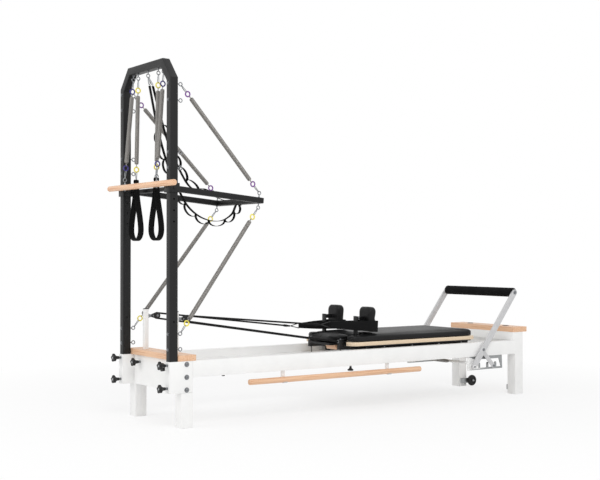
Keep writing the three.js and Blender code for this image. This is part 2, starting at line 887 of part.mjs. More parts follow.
// A snap hook: a closed link with straight sides and half round ends
function snapHook(start, end, across) {
  const along = new THREE.Vector3().subVectors(end, start).normalize();
  const side = across.clone().addScaledVector(along, -across.dot(along)).normalize();
  const half = snapWidth / 2;
  const points = [
    [start, 1],
    [end, -1],
  ].flatMap(([tip, way]) =>
    Array.from({ length: snapSteps }, (_, i) => {
      const angle = (i / (snapSteps - 1)) * Math.PI;
      const inward = half * (1 - Math.sin(angle) / Math.sin(Math.PI / (snapSteps - 1)));
      const sideways = half * Math.cos(angle);
      return tip.clone().addScaledVector(along, way * inward).addScaledVector(side, way * sideways);
    }),
  );
  return sweep(points, snapWire, wireSides, true);
}

// The hook's wire rests on the inner side of the eye's ring
const flatShare = Math.cos(Math.PI / smallFacets);
const hookReach = snapWire * Math.sin(Math.PI / wireSides);
const hookRest = (eyeRadius - eyeWire / 2) * flatShare - hookReach - seat;
function springSolid(from, to, endAcross = acrossY, endRest = hookRest) {
  const a = new THREE.Vector3(...from);
  const b = new THREE.Vector3(...to);
  const axis = b.clone().sub(a).normalize();
  const total = a.distanceTo(b);
  const at = (reach) => a.clone().addScaledVector(axis, reach);
  const ringNormal = acrossY.clone().addScaledVector(axis, -acrossY.dot(axis)).normalize();
  const pieces = [];
  const ends = [
    [hookRest, hookRest + snapLength, 1, acrossY],
    [total - endRest, total - endRest - snapLength, -1, endAcross],
  ];
  for (const [start, end, way, across] of ends) {
    pieces.push(snapHook(at(start), at(end), across));
    const centre = at(end + way * springRing).toArray();
    pieces.push(ring(centre, ringNormal, springRing, springRingWire));
  }
  const coilFrom = hookRest + snapLength + 2 * springRing;
  const coilTo = total - endRest - snapLength - 2 * springRing;
  const curve = new CoilCurve(coilFrom, coilTo - coilFrom, springEnd - coilFrom);
  measureCoil(curve);
  const coil = tube(curve, coilWire, coilTurns * coilSteps + straightSteps, wireFacets);
  return join(placeAlong(coil, a, axis), pieces);
}

// Moves a solid made along +z from the origin so that it runs along an axis from a point
function placeAlong(solid, origin, axis) {
  const turn = new THREE.Quaternion().setFromUnitVectors(new THREE.Vector3(0, 0, 1), axis);
  const matrix = new THREE.Matrix4().compose(origin, turn, new THREE.Vector3(1, 1, 1));
  return solid.transform(matrix.elements);
}

const rollBarX = postBack - sleeveReach - seat - dowelRadius;
const rollEyeZ = rollBarHeight + dowelRadius + eyeStandoff();
const loopX = postMiddleX - loopForward;
function buildSprings() {
  const armEyeY = armInner + barTube / 2;
  const eyeUp = barTubeTall / 2 + eyeStandoff();
  for (const side of sides) {
    const name = sideName[side];
    const barTopEye = onBar([eyeAlong, side * armEyeY, eyeUp]);
    const barLowEye = onBar([eyeAlong, side * armEyeY, -eyeUp]);
    const highEye = [postEyeX, side * postMiddleY, upperEyeHeight];
    const lowEye = [postEyeX, side * postMiddleY, lowerEyeHeight];
    add(`upper_bar_spring_${name}`, springSolid(highEye, barTopEye), springSteel);
    add(`lower_bar_spring_${name}`, springSolid(lowEye, barLowEye), springSteel);
    const outerEye = [postMiddleX, side * outerEyeSpread, crossEyeZ];
    const rollEye = [rollBarX, side * rollEyeSpread, rollEyeZ];
    add(`roll_bar_spring_${name}`, springSolid(outerEye, rollEye), springSteel);
    const innerEye = [postMiddleX, side * innerEyeSpread, crossEyeZ];
    const loopEye = [loopX, side * innerEyeSpread, loopTop];
    const loopRest = loopEyeRadius * flatShare - hookReach - seat;
    const loopSpring = springSolid(innerEye, loopEye, acrossX, loopRest);
    add(`hand_loop_spring_${name}`, loopSpring, springSteel);
  }
  if (leastMeasuredGap < leastCoilGap) throw new Error("a coil touches itself");
  console.log("least gap of a coil to itself: " + leastMeasuredGap.toFixed(2) + " mm");
}

// Roll-down bar: a dowel in front of the posts with two eyebolts
function buildRollBar() {
  const half = rollBarLength / 2;
  const dowel = rod(
    [rollBarX, -half, rollBarHeight],
    [rollBarX, half, rollBarHeight],
    dowelRadius,
    roundFacets,
  );
  const eyes = sides.map((side) => {
    const y = side * rollEyeSpread;
    const face = [rollBarX, y, rollBarHeight + dowelRadius];
    return eyebolt(face, [rollBarX, y, rollBarHeight], [0, 0, 1]);
  });
  add("roll_down_bar", join(dowel, eyes), beech);
}

// A hand loop: webbing bent to a teardrop below a sewn eye
function teardrop(halfWidth, top, bottom) {
  const height = top - bottom;
  const outline = new THREE.Shape();
  const low = bottom + halfWidth;
  outline.moveTo(0, top);
  const high = top - height * neckShare;
  const hip = low + height * hipShare;
  const waist = halfWidth * waistShare;
  outline.bezierCurveTo(-waist, high, -halfWidth, hip, -halfWidth, low);
  outline.absarc(0, low, halfWidth, Math.PI, 2 * Math.PI, false);
  outline.bezierCurveTo(halfWidth, hip, waist, high, 0, top);
  outline.closePath();
  return outline;
}

function buildHandLoops() {
  const xs = [loopX - loopBand / 2, loopX + loopBand / 2];
  const cutX = [xs[0] - overrun, xs[1] + overrun];
  const tabX = [loopX - loopTab / 2, loopX + loopTab / 2];
  const neck = loopTop - 2 * loopEyeRadius - loopThickness;
  for (const side of sides) {
    const outer = prism("x", teardrop(loopHalfWidth, neck, loopBottom), xs);
    const innerTop = neck - loopNeck;
    const innerHalf = loopHalfWidth - loopThickness;
    const inner = prism("x", teardrop(innerHalf, innerTop, loopBottom + loopThickness), cutX);
    const eyeOuter = loopEyeRadius + loopThickness;
    const eyeShape = linkOutline([0, 0], [0, -loopTail], 2 * eyeOuter);
    const sewn = prism("x", eyeShape, tabX).translate([0, 0, loopTop]);
    const hole = rod([cutX[0], 0, loopTop], [cutX[1], 0, loopTop], loopEyeRadius, smallFacets);
    const loop = cut(join(outer, sewn), inner, hole);
    const placed = loop.translate([0, side * innerEyeSpread, 0]);
    add(`hand_loop_${sideName[side]}`, placed, webbing);
  }
}

// Multi-loop straps: a flat band along a hanging route with sewn loops on one side.
// A route's points are shares of the way out to the bar's end and of the way down to it.
const strapTopZ = crossEyeZ - hookRest - snapLength;
const swagRouteShares = [
  [0.0783, 0.3183],
  [0.1535, 0.5526],
  [0.236, 0.74],
  [0.3291, 0.8884],
  [0.4187, 1.0134],
  [0.5441, 1.1024],
  [0.6874, 1.1462],
  [0.8308, 1.143],
  [0.9472, 1.0837],
];
const frontRouteShares = [
  [0.0807, 0.2046],
  [0.1731, 0.4279],
  [0.2839, 0.618],
  [0.3947, 0.7751],
  [0.5092, 0.8892],
  [0.6533, 0.9388],
  [0.838, 0.9653],
];
const swagTop = postMiddleX + snapWidth / 2;
const frontTop = swagTop + strapWidth;
const swagLoopShares = [0.3, 0.43, 0.55, 0.66, 0.76, 0.86];
const frontLoopShares = [0.24, 0.38, 0.5, 0.62];
const frontSwing = 170; // how far the front strap runs toward the far side at the bar

// The last two points of a route lie along the push-through bar's end, under it or on it
function strapRoute(topX, routeShares, way) {
  const rise = way * (barTubeTall / 2 + strapThickness / 2 + seat);
  const onEnd = [barLength - barTube, barLength - overrun].map((u) => onBar([u, 0, rise]));
  const [endX, , endZ] = onEnd[0];
  const route = routeShares.map(([out, down]) => [
    topX + out * (endX - topX),
    strapTopZ + down * (endZ - strapTopZ),
  ]);
  return [[topX, strapTopZ], ...route, ...onEnd.map(([x, , z]) => [x, z])];
}

function bandSolid(points, ys) {
  const curve = new THREE.CatmullRomCurve3(points.map(([x, z]) => new THREE.Vector3(x, 0, z)));
  const centre = curve.getSpacedPoints(strapSteps);
  const half = strapThickness / 2;
  const edge = (amount) =>
    centre.map((at, i) => {
      const tangent = curve.getTangentAt(i / strapSteps);
      return [at.x - tangent.z * amount, at.z + tangent.x * amount];
    });
  const outline = outlineOf([...edge(half), ...edge(-half).reverse()]);
  return { curve, solid: prism("y", outline, ys) };
}

function strapLoop(curve, share, outward, ys) {
  const at = curve.getPointAt(share);
  const tangent = curve.getTangentAt(share);
  const shift = outward * (strapLoopRadius - strapLoopSunk);
  const u = at.x - tangent.z * shift;
  const v = at.z + tangent.x * shift;
  const outline = new THREE.Shape();
  outline.absarc(u, v, strapLoopRadius, 0, 2 * Math.PI);
  const hole = new THREE.Path();
  hole.absarc(u, v, strapLoopRadius - strapThickness, 0, 2 * Math.PI, true);
  outline.holes.push(hole);
  return prism("y", outline, ys);
}

function strapSnap(x) {
  const start = new THREE.Vector3(postMiddleX, 0, crossEyeZ - hookRest);
  return snapHook(start, new THREE.Vector3(x, 0, strapTopZ), acrossY);
}

function buildStraps() {
  const ys = [-strapWidth / 2, strapWidth / 2];
  const swag = bandSolid(strapRoute(swagTop, swagRouteShares, -1), ys);
  const front = bandSolid(strapRoute(frontTop, frontRouteShares, 1), ys);
  const swagLoops = swagLoopShares.map((share) => strapLoop(swag.curve, share, -1, ys));
  const frontLoops = frontLoopShares.map((share) => strapLoop(front.curve, share, 1, ys));
  const barEnd = onBar([barLength, 0, 0])[0];
  const slope = frontSwing / (barEnd - frontTop);
  const shear = new THREE.Matrix4().makeShear(slope, 0, 0, 0, 0, 0);
  const swung = join(front.solid, frontLoops)
    .translate([-frontTop, 0, 0])
    .transform(shear.elements)
    .translate([frontTop, 0, 0]);
  const snaps = [strapSnap(swagTop), strapSnap(frontTop)];
  add("multi_loop_straps", join(swag.solid, swagLoops, swung, snaps), webbing);
}

// Risers: a square post, its bracket and the pulley's two cheeks with the axle between them
const sheaveX = riserForward + pulleyForward;
const cheekGap = sheaveWidth / 2 + slip;
const riserFront = riserForward + riserSide / 2;
function buildRisers() {
  for (const side of sides) {
    const y = side * riserSpread;
    const half = riserSide / 2;
    const post = cut(
      box([riserForward - half, riserFront], [y - half, y + half], [riserBottom, riserTop]),
      box(
        [riserForward - half + riserWall, riserFront - riserWall],
        [y - half + riserWall, y + half - riserWall],
        [riserBottom - overrun, riserTop - riserWall],
      ),
    );
    const bracket = box(
      [riserFront - riserWall, sheaveX - sheaveRadius - 2 * ropeRadius - slip],
      [y - cheekGap, y + cheekGap],
      [pulleyHeight - cheekHeight / 4, pulleyHeight + cheekHeight / 4],
    );
    const cheekEnd = sheaveX + cheekLength / 2 - cheekHeight / 2;
    const cheekStart = sheaveX - cheekLength / 2 + cheekHeight / 2;
    const outline = linkOutline([cheekStart, pulleyHeight], [cheekEnd, pulleyHeight], cheekHeight);
    const cheeks = sides.map((way) => {
      const from = y + way * (cheekGap - slip / 2);
      return prism("y", outline, [from, from + way * cheekThickness]);
    });
    const axleReach = cheekGap + cheekThickness / 2;
    const axle = rod(
      [sheaveX, y - axleReach, pulleyHeight],
      [sheaveX, y + axleReach, pulleyHeight],
      axleRadius,
    );
    add(`riser_${sideName[side]}`, join(post, bracket, cheeks, axle), whitePaint);
    add(`riser_sheave_${sideName[side]}`, sheaveSolid(sheaveX, y, pulleyHeight), blackPlastic);
  }
}

function sheaveSolid(x, y, z) {
  const half = sheaveWidth / 2;
  const bore = (axleRadius + slip) / Math.cos(Math.PI / roundFacets);
  const profile = [
    [bore, -half],
    [sheaveRadius, -half],
    [sheaveRadius, -half + sheaveFlange],
    [sheaveGroove, -half + sheaveFlange],
    [sheaveGroove, half - sheaveFlange],
    [sheaveRadius, half - sheaveFlange],
    [sheaveRadius, half],
    [bore, half],
    [bore, -half],
  ];
  const points = profile.map(([r, w]) => new THREE.Vector2(r, w));
  return solidOf(new THREE.LatheGeometry(points, roundFacets).translate(x, y, z));
}

// Ropes: from the cleat to the pulley, round the sheave and out to the hand strap's ring
const strapZ = shoulderPadBottom + handStrapRise + handStrapHeight / 2;
const padFace = carriageStart + shoulderPadForward;
const handStrapStart = carriageStart - handStrapReach;
const ringTip = handStrapStart - ringLength;
const cleatFront = carriageStart - cleatReach;
const cleatMiddleZ = cleatTop - cleatHeight / 2;
function buildRopes() {
  for (const side of sides) {
    const y = side * riserSpread;
    const cleat = new THREE.Vector3(cleatFront - 2 * slip, side * cleatSpread, cleatMiddleZ);
    const tip = new THREE.Vector3(ringTip - ropeEndRoom, side * shoulderSpread, strapZ);
    const turn = Array.from({ length: ropeTurnSteps + 1 }, (_, i) => {
      const angle = -Math.PI / 2 - (i / ropeTurnSteps) * Math.PI;
      return new THREE.Vector3(
        sheaveX + ropeTurnRadius * Math.cos(angle),
        y,
        pulleyHeight + ropeTurnRadius * Math.sin(angle),
      );
    });
    add(`rope_${sideName[side]}`, sweep([cleat, ...turn, tip], ropeRadius, smallFacets), webbing);
  }
}

// Star knobs: a lobed head, a cone and a stud, made along +z with the wall at z = 0
function knobOutline(radius) {
  const steps = knobLobes * 4;
  const points = Array.from({ length: steps }, (_, i) => {
    const angle = (i / steps) * 2 * Math.PI;
    const reach = radius * (1 - knobLobeShare + knobLobeShare * Math.cos(knobLobes * angle));
    return [reach * Math.cos(angle), reach * Math.sin(angle)];
  });
  return outlineOf(points);
}

function knobSolid(studLength, scale = 1, tall = 1) {
  const neckStart = studReach * tall;
  const headStart = neckStart + knobNeck * tall;
  const headEnd = headStart + knobThickness * tall;
  const head = prism("z", knobOutline(knobRadius * scale), [headStart, headEnd]);
  const neck = rod(
    [0, 0, neckStart],
    [0, 0, headStart + overrun],
    knobBoreRadius * scale,
    smallFacets,
    knobNeckRadius * scale,
  );
  const stud = rod([0, 0, -studLength], [0, 0, neckStart + overrun], studRadius, smallFacets);
  return join(head, neck, stud);
}

function buildKnobs() {
  const outward = new THREE.Vector3(-1, 0, 0);
  for (const side of sides) {
    const y = side * postMiddleY;
    const names = ["upper", "lower"];
    socketKnobHeights().forEach((z, i) => {
      const knob = placeAlong(knobSolid(socketWall), new THREE.Vector3(-socketReach, y, z), outward);
      add(`socket_knob_${names[i]}_${sideName[side]}`, knob, blackPlastic);
    });
    const guideFace = new THREE.Vector3(0, side * riserSpread, guideKnobHeight());
    const stud = riserForward - riserSide / 2 - seat;
    const guideKnob = placeAlong(knobSolid(stud), guideFace, outward);
    add(`riser_knob_${sideName[side]}`, guideKnob, blackPlastic);
  }
  const under = new THREE.Vector3(railKnobForward, railKnobY, railBottom);
  const down = new THREE.Vector3(0, 0, -1);
  const small = knobSolid(railWall, railKnobWidthShare, railKnobHeightShare);
  add("rail_knob", placeAlong(small, under, down), blackPlastic);
}

// Beech platforms at both ends
const footPlatformEnd = frameLength + footPlatformReach;
const footPlatformTop = footPlatformBottom + footPlatformThickness;
function buildPlatforms() {
  const headX = [postFront + seat, headPlatformReach];
  const headZ = [railTop + seat, railTop + seat + headPlatformThickness];
  const ys = [-halfWidth, halfWidth];
  const board = prism("z", roundedOutline(headX, ys, platformCorner), headZ, 2);
  const holes = sides.map((side) => {
    const reach = riserSide / 2 + 2 * slip;
    const y = side * riserSpread;
    return box(
      [riserForward - reach, riserForward + reach],
      [y - reach, y + reach],
      [headZ[0] - overrun, headZ[1] + overrun],
    );
  });
  add("head_platform", cut(board, holes), beech);
  const footX = [footPlatformEnd - footPlatformLength, footPlatformEnd];
  const footZ = [footPlatformBottom, footPlatformTop];
  const outline = roundedOutline(footX, ys, platformCorner);
  add("foot_platform", prism("z", outline, footZ, 2), beech);
}
// Foot end frame: two legs, the end panels and the brackets and axles of the wheels
const wheelX = frameLength + wheelForward;
const wheelZ = wheelRadius + wheelFloorGap;
function buildFootFrame() {
  const start = frameLength - legSide;
  const top = footPlatformBottom - seat;
  const legInner = halfWidth - legSide;
  const pieces = [];
  for (const side of sides) {
    pieces.push(legSolid(start, side, top));
    const plateInner = wheelSpread + wheelWidth / 2 + slip;
    const plateY = [side * plateInner, side * (plateInner + bracketThickness)];
    const root = [frameLength - bracketRoot, wheelZ];
    const outline = linkOutline(root, [wheelX, wheelZ], bracketTall);
    pieces.push(prism("y", outline, plateY));
    const rootMiddle = frameLength - bracketRoot;
    const rootX = [rootMiddle - bracketTall / 2, rootMiddle + bracketTall / 2];
    const rootZ = [wheelZ - bracketTall / 2, wheelZ + bracketTall / 2];
    pieces.push(box(rootX, [side * plateInner, side * (legInner + overrun)], rootZ));
    const axleEnd = side * (wheelSpread - wheelWidth / 2 - wheelAxle);
    const axleStart = side * (plateInner + bracketThickness / 2);
    pieces.push(rod([wheelX, axleStart, wheelZ], [wheelX, axleEnd, wheelZ], wheelAxle));
  }
  const lipX = [start - footLip, start + overrun];
  pieces.push(box(lipX, [-halfWidth, halfWidth], [railTop + seat, top]));
  const panelX = [start, start + panelThickness];
  pieces.push(box(panelX, [-legInner - overrun, legInner + overrun], [railBottom, top]));
  add("foot_end_frame", join(pieces), whitePaint);
}

// Transport wheels: a tyre profile turned about the axle
function buildWheels() {
  const half = wheelWidth / 2;
  const bore = (wheelAxle + slip) / Math.cos(Math.PI / roundFacets);
  const shoulder = wheelWidth * wheelShoulderShare;
  const profile = [
    [bore, -half],
    [wheelHub, -half],
    [wheelHub, -half + shoulder],
    [wheelRadius - shoulder, -half + shoulder],
    [wheelRadius, -half + 2 * shoulder],
    [wheelRadius, half - 2 * shoulder],
    [wheelRadius - shoulder, half - shoulder],
    [wheelHub, half - shoulder],
    [wheelHub, half],
    [bore, half],
    [bore, -half],
  ];
  for (const side of sides) {
    const points = profile.map(([r, w]) => new THREE.Vector2(r, w));
    const wheel = new THREE.LatheGeometry(points, fineFacets);
    wheel.translate(wheelX, side * wheelSpread, wheelZ);
    add(`transport_wheel_${sideName[side]}`, solidOf(wheel), blackPlastic);
  }
}

// Carriage: deck, cushion, under-frame, rollers and springs
const carriageEnd = carriageStart + carriageLength;
const deckTop = deckBottom + deckThickness;
const notchEnd = carriageStart + notchDepth;
const rollerAxleZ = trackTop + rollerRadius;
const rollerX = [notchEnd + rollerInset, carriageEnd - rollerInset];
const sidePlateTop = deckBottom - seat;
const propStart = carriageStart + crossBarDepth / 2;
function notchBox(zs) {
  const ys = [-notchHalfWidth, notchHalfWidth];
  return box([carriageStart - overrun, notchEnd], ys, [zs[0] - overrun, zs[1] + overrun]);
}

function buildDeck() {
  const ys = [-carriageHalfWidth, carriageHalfWidth];
  const deckZ = [deckBottom, deckTop];
  const outline = roundedOutline([carriageStart, carriageEnd], ys, deckCorner);
  add("carriage_deck", cut(prism("z", outline, deckZ), notchBox(deckZ)), paleWood);
  const xs = [carriageStart + cushionInset, carriageEnd - cushionInset];
  const padY = [-carriageHalfWidth + cushionInset, carriageHalfWidth - cushionInset];
  const padZ = [deckTop + seat, deckTop + seat + cushionThickness + cushionCrown];
  const cushion = pad(xs, padY, padZ, deckCorner, cushionThickness * cushionEdgeShare, cushionCrown);
  add("carriage_cushion", cut(cushion, notchBox(padZ)), vinyl);
}

const armTop = sidePlateTop - runnerThickness;
function buildUnderframe() {
  const plateX = [rollerX[0] - 2 * rollerRadius, rollerX[1] + rollerRadius];
  const barZ = [sidePlateTop - crossBarHeight, armTop];
  const pieces = [];
  for (const side of sides) {
    const inner = side * sidePlateSpread;
    const outer = side * (sidePlateSpread + sidePlateThickness);
    pieces.push(box(plateX, [inner, outer], [sidePlateTop - sidePlateTall, sidePlateTop]));
    const runnerX = [notchEnd, carriageEnd - deckCorner];
    pieces.push(box(runnerX, [inner, outer + side * runnerReach], [armTop, sidePlateTop]));
    const armY = side * cleatSpread;
    const ys = [armY - cleatWidth / 2, armY + cleatWidth / 2];
    pieces.push(box([cleatFront, rollerX[0]], ys, barZ));
    pieces.push(box([cleatFront, carriageStart - seat], ys, [barZ[0], cleatTop]));
    const boltX = carriageStart - cleatReach / 2;
    const boltLow = barZ[0] - cleatBoltLength / 2;
    const bolt = [boltX, armY, boltLow];
    pieces.push(rod([boltX, armY, barZ[0] + overrun], bolt, cleatBoltRadius, hexFacets));
  }
  const crossings = [
    [propStart + propLength + seat + crossBarDepth / 2, cleatSpread],
    [rollerX[0] + crossBarDepth, sidePlateSpread + overrun],
    [carriageSpringStart, sidePlateSpread + overrun],
    [rollerX[1] - 2 * crossBarDepth, sidePlateSpread + overrun],
  ];
  for (const [x, reach] of crossings) {
    pieces.push(box([x - crossBarDepth / 2, x + crossBarDepth / 2], [-reach, reach], barZ));
  }
  const link = [rollerX[0], rollerX[0] + crossBarDepth];
  const linkY = [-cleatSpread - cleatWidth / 2, cleatSpread + cleatWidth / 2];
  pieces.push(box(link, linkY, barZ));
  const anchorX = [carriageSpringStart - crossBarDepth / 2, carriageSpringStart - seat];
  const anchorReach = sidePlateSpread * anchorShare;
  const anchorZ = [springFrontZ - carriageSpringRadius, barZ[0] + overrun];
  pieces.push(box(anchorX, [-anchorReach, anchorReach], anchorZ));
  const bores = rollerX.map((x) =>
    rod(
      [x, -sidePlateSpread - 2 * sidePlateThickness, rollerAxleZ],
      [x, sidePlateSpread + 2 * sidePlateThickness, rollerAxleZ],
      (rollerAxleRadius + slip) * facetGap,
      roundFacets,
    ),
  );
  add("carriage_underframe", cut(join(pieces), bores), blackPaint);
}

const springFrontZ = rollerAxleZ - 2 * rollerAxleRadius - carriageSpringRadius;
function buildRollers() {
  const outer = halfWidth - railWidth - 2 * sidePlateThickness - overrun;
  const names = ["front", "rear"];
  rollerX.forEach((x, i) => {
    const pieces = [
      rod([x, -outer, rollerAxleZ], [x, outer, rollerAxleZ], rollerAxleRadius, roundFacets),
    ];
    for (const side of sides) {
      const from = [x, side * (outer - rollerWidth), rollerAxleZ];
      const to = [x, side * outer, rollerAxleZ];
      pieces.push(rod(from, to, rollerRadius - seat, fineFacets));
    }
    add(`roller_axle_${names[i]}`, join(pieces), blackPlastic);
  });
}

function buildCarriageSprings() {
  const endX = springBarX - springBarRadius - seat;
  const slope = (springFrontZ - springBarZ) / (endX - carriageSpringStart);
  const startX = carriageSpringStart + carriageSpringRadius * slope;
  const rods = carriageSpringShares.map((share) => {
    const y = share * sidePlateSpread;
    return rod([startX, y, springFrontZ], [endX, y, springBarZ], carriageSpringRadius, hexFacets);
  });
  const reach = sidePlateSpread * Math.max(...carriageSpringShares);
  const tie = rod(
    [startX + carriageSpringRadius, -reach, springFrontZ],
    [startX + carriageSpringRadius, reach, springFrontZ],
    carriageSpringRadius / 2,
    hexFacets,
  );
  add("carriage_springs", join(rods, tie), springSteel);
}

// Headrest: a hinged board with its pad, and the wooden prop below it
const headrestFront = carriageStart - headrestOverhang;
const headrestHingeX = notchEnd - headrestHingeRadius - seat;
const boardBottom = deckBottom + seat;
function buildHeadrest() {
  const ys = [-headrestHalfWidth, headrestHalfWidth];
  const boardZ = [boardBottom, boardBottom + headrestBoard];
  const outline = roundedOutline([headrestFront, headrestHingeX], ys, platformCorner);
  const hingeZ = (boardZ[0] + boardZ[1]) / 2;
  const barrel = rod(
    [headrestHingeX, ys[0], hingeZ],
    [headrestHingeX, ys[1], hingeZ],
    headrestHingeRadius,
  );
  add("headrest_board", join(prism("z", outline, boardZ, 2), barrel), blackPaint);
  const padX = [headrestFront, headrestHingeX - headrestPadEnd];
  const padZ = [boardZ[1] + seat, boardZ[1] + seat + headrestPad + headrestCrown];
  const corner = headrestPad / 2;
  add("headrest_pad", pad(padX, ys, padZ, corner, corner * headrestEdgeShare, headrestCrown), vinyl);
  const top = boardBottom - seat;
  const foot = propLength * propFootShare;
  const wedge = outlineOf([
    [propStart, top],
    [propStart + propLength, top],
    [propStart + propLength, top - propHeight],
    [propStart + propLength - foot, top - propHeight],
  ]);
  add("headrest_prop", prism("y", wedge, [-propHalfWidth, propHalfWidth]), beech);
}

// Shoulder rests: an upright in the notch, an arm over the cushion and the pad with its strap
function buildShoulderRests() {
  for (const side of sides) {
    const y = side * shoulderSpread;
    const name = sideName[side];
    const x = carriageStart + uprightForward;
    const upright = box(
      [x, x + uprightThick],
      [y - uprightWide / 2, y + uprightWide / 2],
      [armTop + seat, uprightTop],
    );
    const armZ = shoulderPadBottom + shoulderArmRise;
    const arm = box(
      [x + uprightThick / 2, padFace - seat],
      [y - uprightWide / 4, y + uprightWide / 4],
      [armZ - shoulderArmHeight / 2, armZ + shoulderArmHeight / 2],
    );
    add(`shoulder_post_${name}`, join(upright, arm), blackPaint);
    const padX = [padFace, padFace + shoulderPadThick];
    const padY = [y - shoulderPadWide / 2, y + shoulderPadWide / 2];
    const padZ = [shoulderPadBottom, shoulderPadTop];
    const corner = shoulderPadThick * shoulderCornerShare;
    const crown = corner * shoulderCrownShare;
    add(`shoulder_pad_${name}`, pad(padX, padY, padZ, corner, corner, crown), vinyl);
    add(`hand_strap_${name}`, handStrapSolid(y), webbing);
  }
}

// A padded hand strap: a band round the shoulder pad that narrows to its metal ring
function handStrapSolid(y) {
  const half = shoulderPadWide / 2 + handStrapGap;
  const end = padFace + shoulderPadThick + handStrapGap;
  const corner = shoulderPadThick * shoulderCornerShare;
  const narrow = ringWire + handStrapThickness;
  const bandOutline = (grow) => {
    const outline = new THREE.Shape();
    const w = half + grow;
    const r = corner + grow;
    outline.moveTo(handStrapStart - grow, y - narrow - grow);
    outline.lineTo(padFace, y - w);
    outline.absarc(end + grow - r, y - w + r, r, -Math.PI / 2, 0, false);
    outline.absarc(end + grow - r, y + w - r, r, 0, Math.PI / 2, false);
    outline.lineTo(padFace, y + w);
    outline.lineTo(handStrapStart - grow, y + narrow + grow);
    outline.closePath();
    return outline;
  };
  const zs = [strapZ - handStrapHeight / 2, strapZ + handStrapHeight / 2];
  const band = cut(
    prism("z", bandOutline(handStrapThickness), zs, cornerSteps),
    prism("z", bandOutline(0), [zs[0] - overrun, zs[1] + overrun], cornerSteps),
  );
  const ringHalf = handStrapHeight / 2 - ringWire;
  const corners = sides.map((way) => [handStrapStart, y, strapZ + way * ringHalf]);
  const tip = [ringTip, y, strapZ];
  const legs = corners.map((corner) => rod(tip, corner, ringWire, hexFacets));
  return join(band, legs);
}

// Footbar: two flat arms and a core tube, a foam sleeve, and a strut on each arm
const lean = [Math.sin(footbarLean), Math.cos(footbarLean)];
function alongArm(reach) {
  return [footbarPivotX + reach * lean[0], footbarPivotZ + reach * lean[1]];
}
const footbarTop = alongArm(footbarLength);
const strutTop = alongArm(strutPlace);
const strutFoot = [
  strutTop[0] + strutLength * Math.sin(strutAngle),
  strutTop[1] - strutLength * Math.cos(strutAngle),
];
const armNear = halfWidth + footbarGap;
const armFar = armNear + armThickness;
const gearOuter = halfWidth - gearInset;
const gearInner = gearOuter - gearThickness;
function buildFootbar() {
  const outline = linkOutline([footbarPivotX, footbarPivotZ], footbarTop, armWidth);
  const pieces = [];
  const bores = [];
  for (const side of sides) {
    pieces.push(prism("y", outline, [side * armNear, side * armFar]));
    const pinEnd = side * (halfWidth + seat + overrun / 4);
    const pinStart = side * (armNear + armThickness / 2);
    const at = (y) => [strutTop[0], y, strutTop[1]];
    pieces.push(rod(at(pinStart), at(pinEnd), strutPinRadius, roundFacets));
    bores.push(
      rod(
        [footbarPivotX, side * (armNear - overrun), footbarPivotZ],
        [footbarPivotX, side * (armFar + overrun), footbarPivotZ],
        (pivotPinRadius + slip) * facetGap,
        roundFacets,
      ),
    );
  }
  const across = (reach) => [
    [footbarTop[0], -reach, footbarTop[1]],
    [footbarTop[0], reach, footbarTop[1]],
  ];
  pieces.push(rod(...across(armNear + armThickness / 2), coreRadius, roundFacets));
  add("footbar_frame", cut(join(pieces), bores), greyMetal);
  const sleeve = cut(
    rod(...across(armNear - seat), foamRadius, fineFacets),
    rod(...across(armFar), (coreRadius + seat) * facetGap, roundFacets),
  );
  add("footbar_foam", sleeve, foam);
  buildStruts();
}

function buildStruts() {
  for (const side of sides) {
    const inner = side * (halfWidth + seat + overrun / 2);
    const outer = inner + side * strutThickness;
    const plate = prism("y", linkOutline(strutTop, strutFoot, strutWidth), [inner, outer]);
    const at = (y) => [strutFoot[0], y, strutFoot[1]];
    const bossEnd = side * (gearOuter + slip);
    const boss = rod(at((inner + outer) / 2), at(bossEnd), strutPinRadius, roundFacets);
    const capEnd = outer + (side * strutThickness) / 2;
    const capRadius = strutPinRadius + strutThickness / 2;
    const cap = rod(at((inner + outer) / 2), at(capEnd), capRadius, roundFacets);
    const bore = rod(
      [strutTop[0], inner - side * overrun, strutTop[1]],
      [strutTop[0], outer + side * overrun, strutTop[1]],
      (strutPinRadius + slip) * facetGap,
      roundFacets,
    );
    add(`footbar_strut_${sideName[side]}`, cut(join(plate, boss, cap), bore), greyMetal);
  }
}

// The cradle under the rails: toothed plates with windows, flanges, pivot pins and spring bar
function gearOutline() {
  const top = railBottom - seat;
  const outline = outlineOf([
    [gearStart, gearBottom],
    [gearEnd, gearBottom],
    [gearEnd - gearTopInset, top],
    [gearStart, top],
  ]);
  const low = gearBottom + gearBand;
  const high = top - gearTopBand;
  const end = gearEnd - gearBand - gearEndBand;
  const span = end - gearWindowStart;
  const window = new THREE.Path();
  window.moveTo(gearWindowStart, high);
  window.lineTo(gearWindowStart, low);
  for (const share of toothShares) {
    const middle = gearWindowStart + share * span;
    const r = toothWidth / 2;
    window.lineTo(middle - r, low);
    window.absarc(middle, low + toothHeight - r, r, Math.PI, 0, true);
    window.lineTo(middle + r, low);
  }
  window.lineTo(end + gearEndBand, low);
  window.lineTo(end, high);
  window.closePath();
  outline.holes.push(window);
  return outline;
}

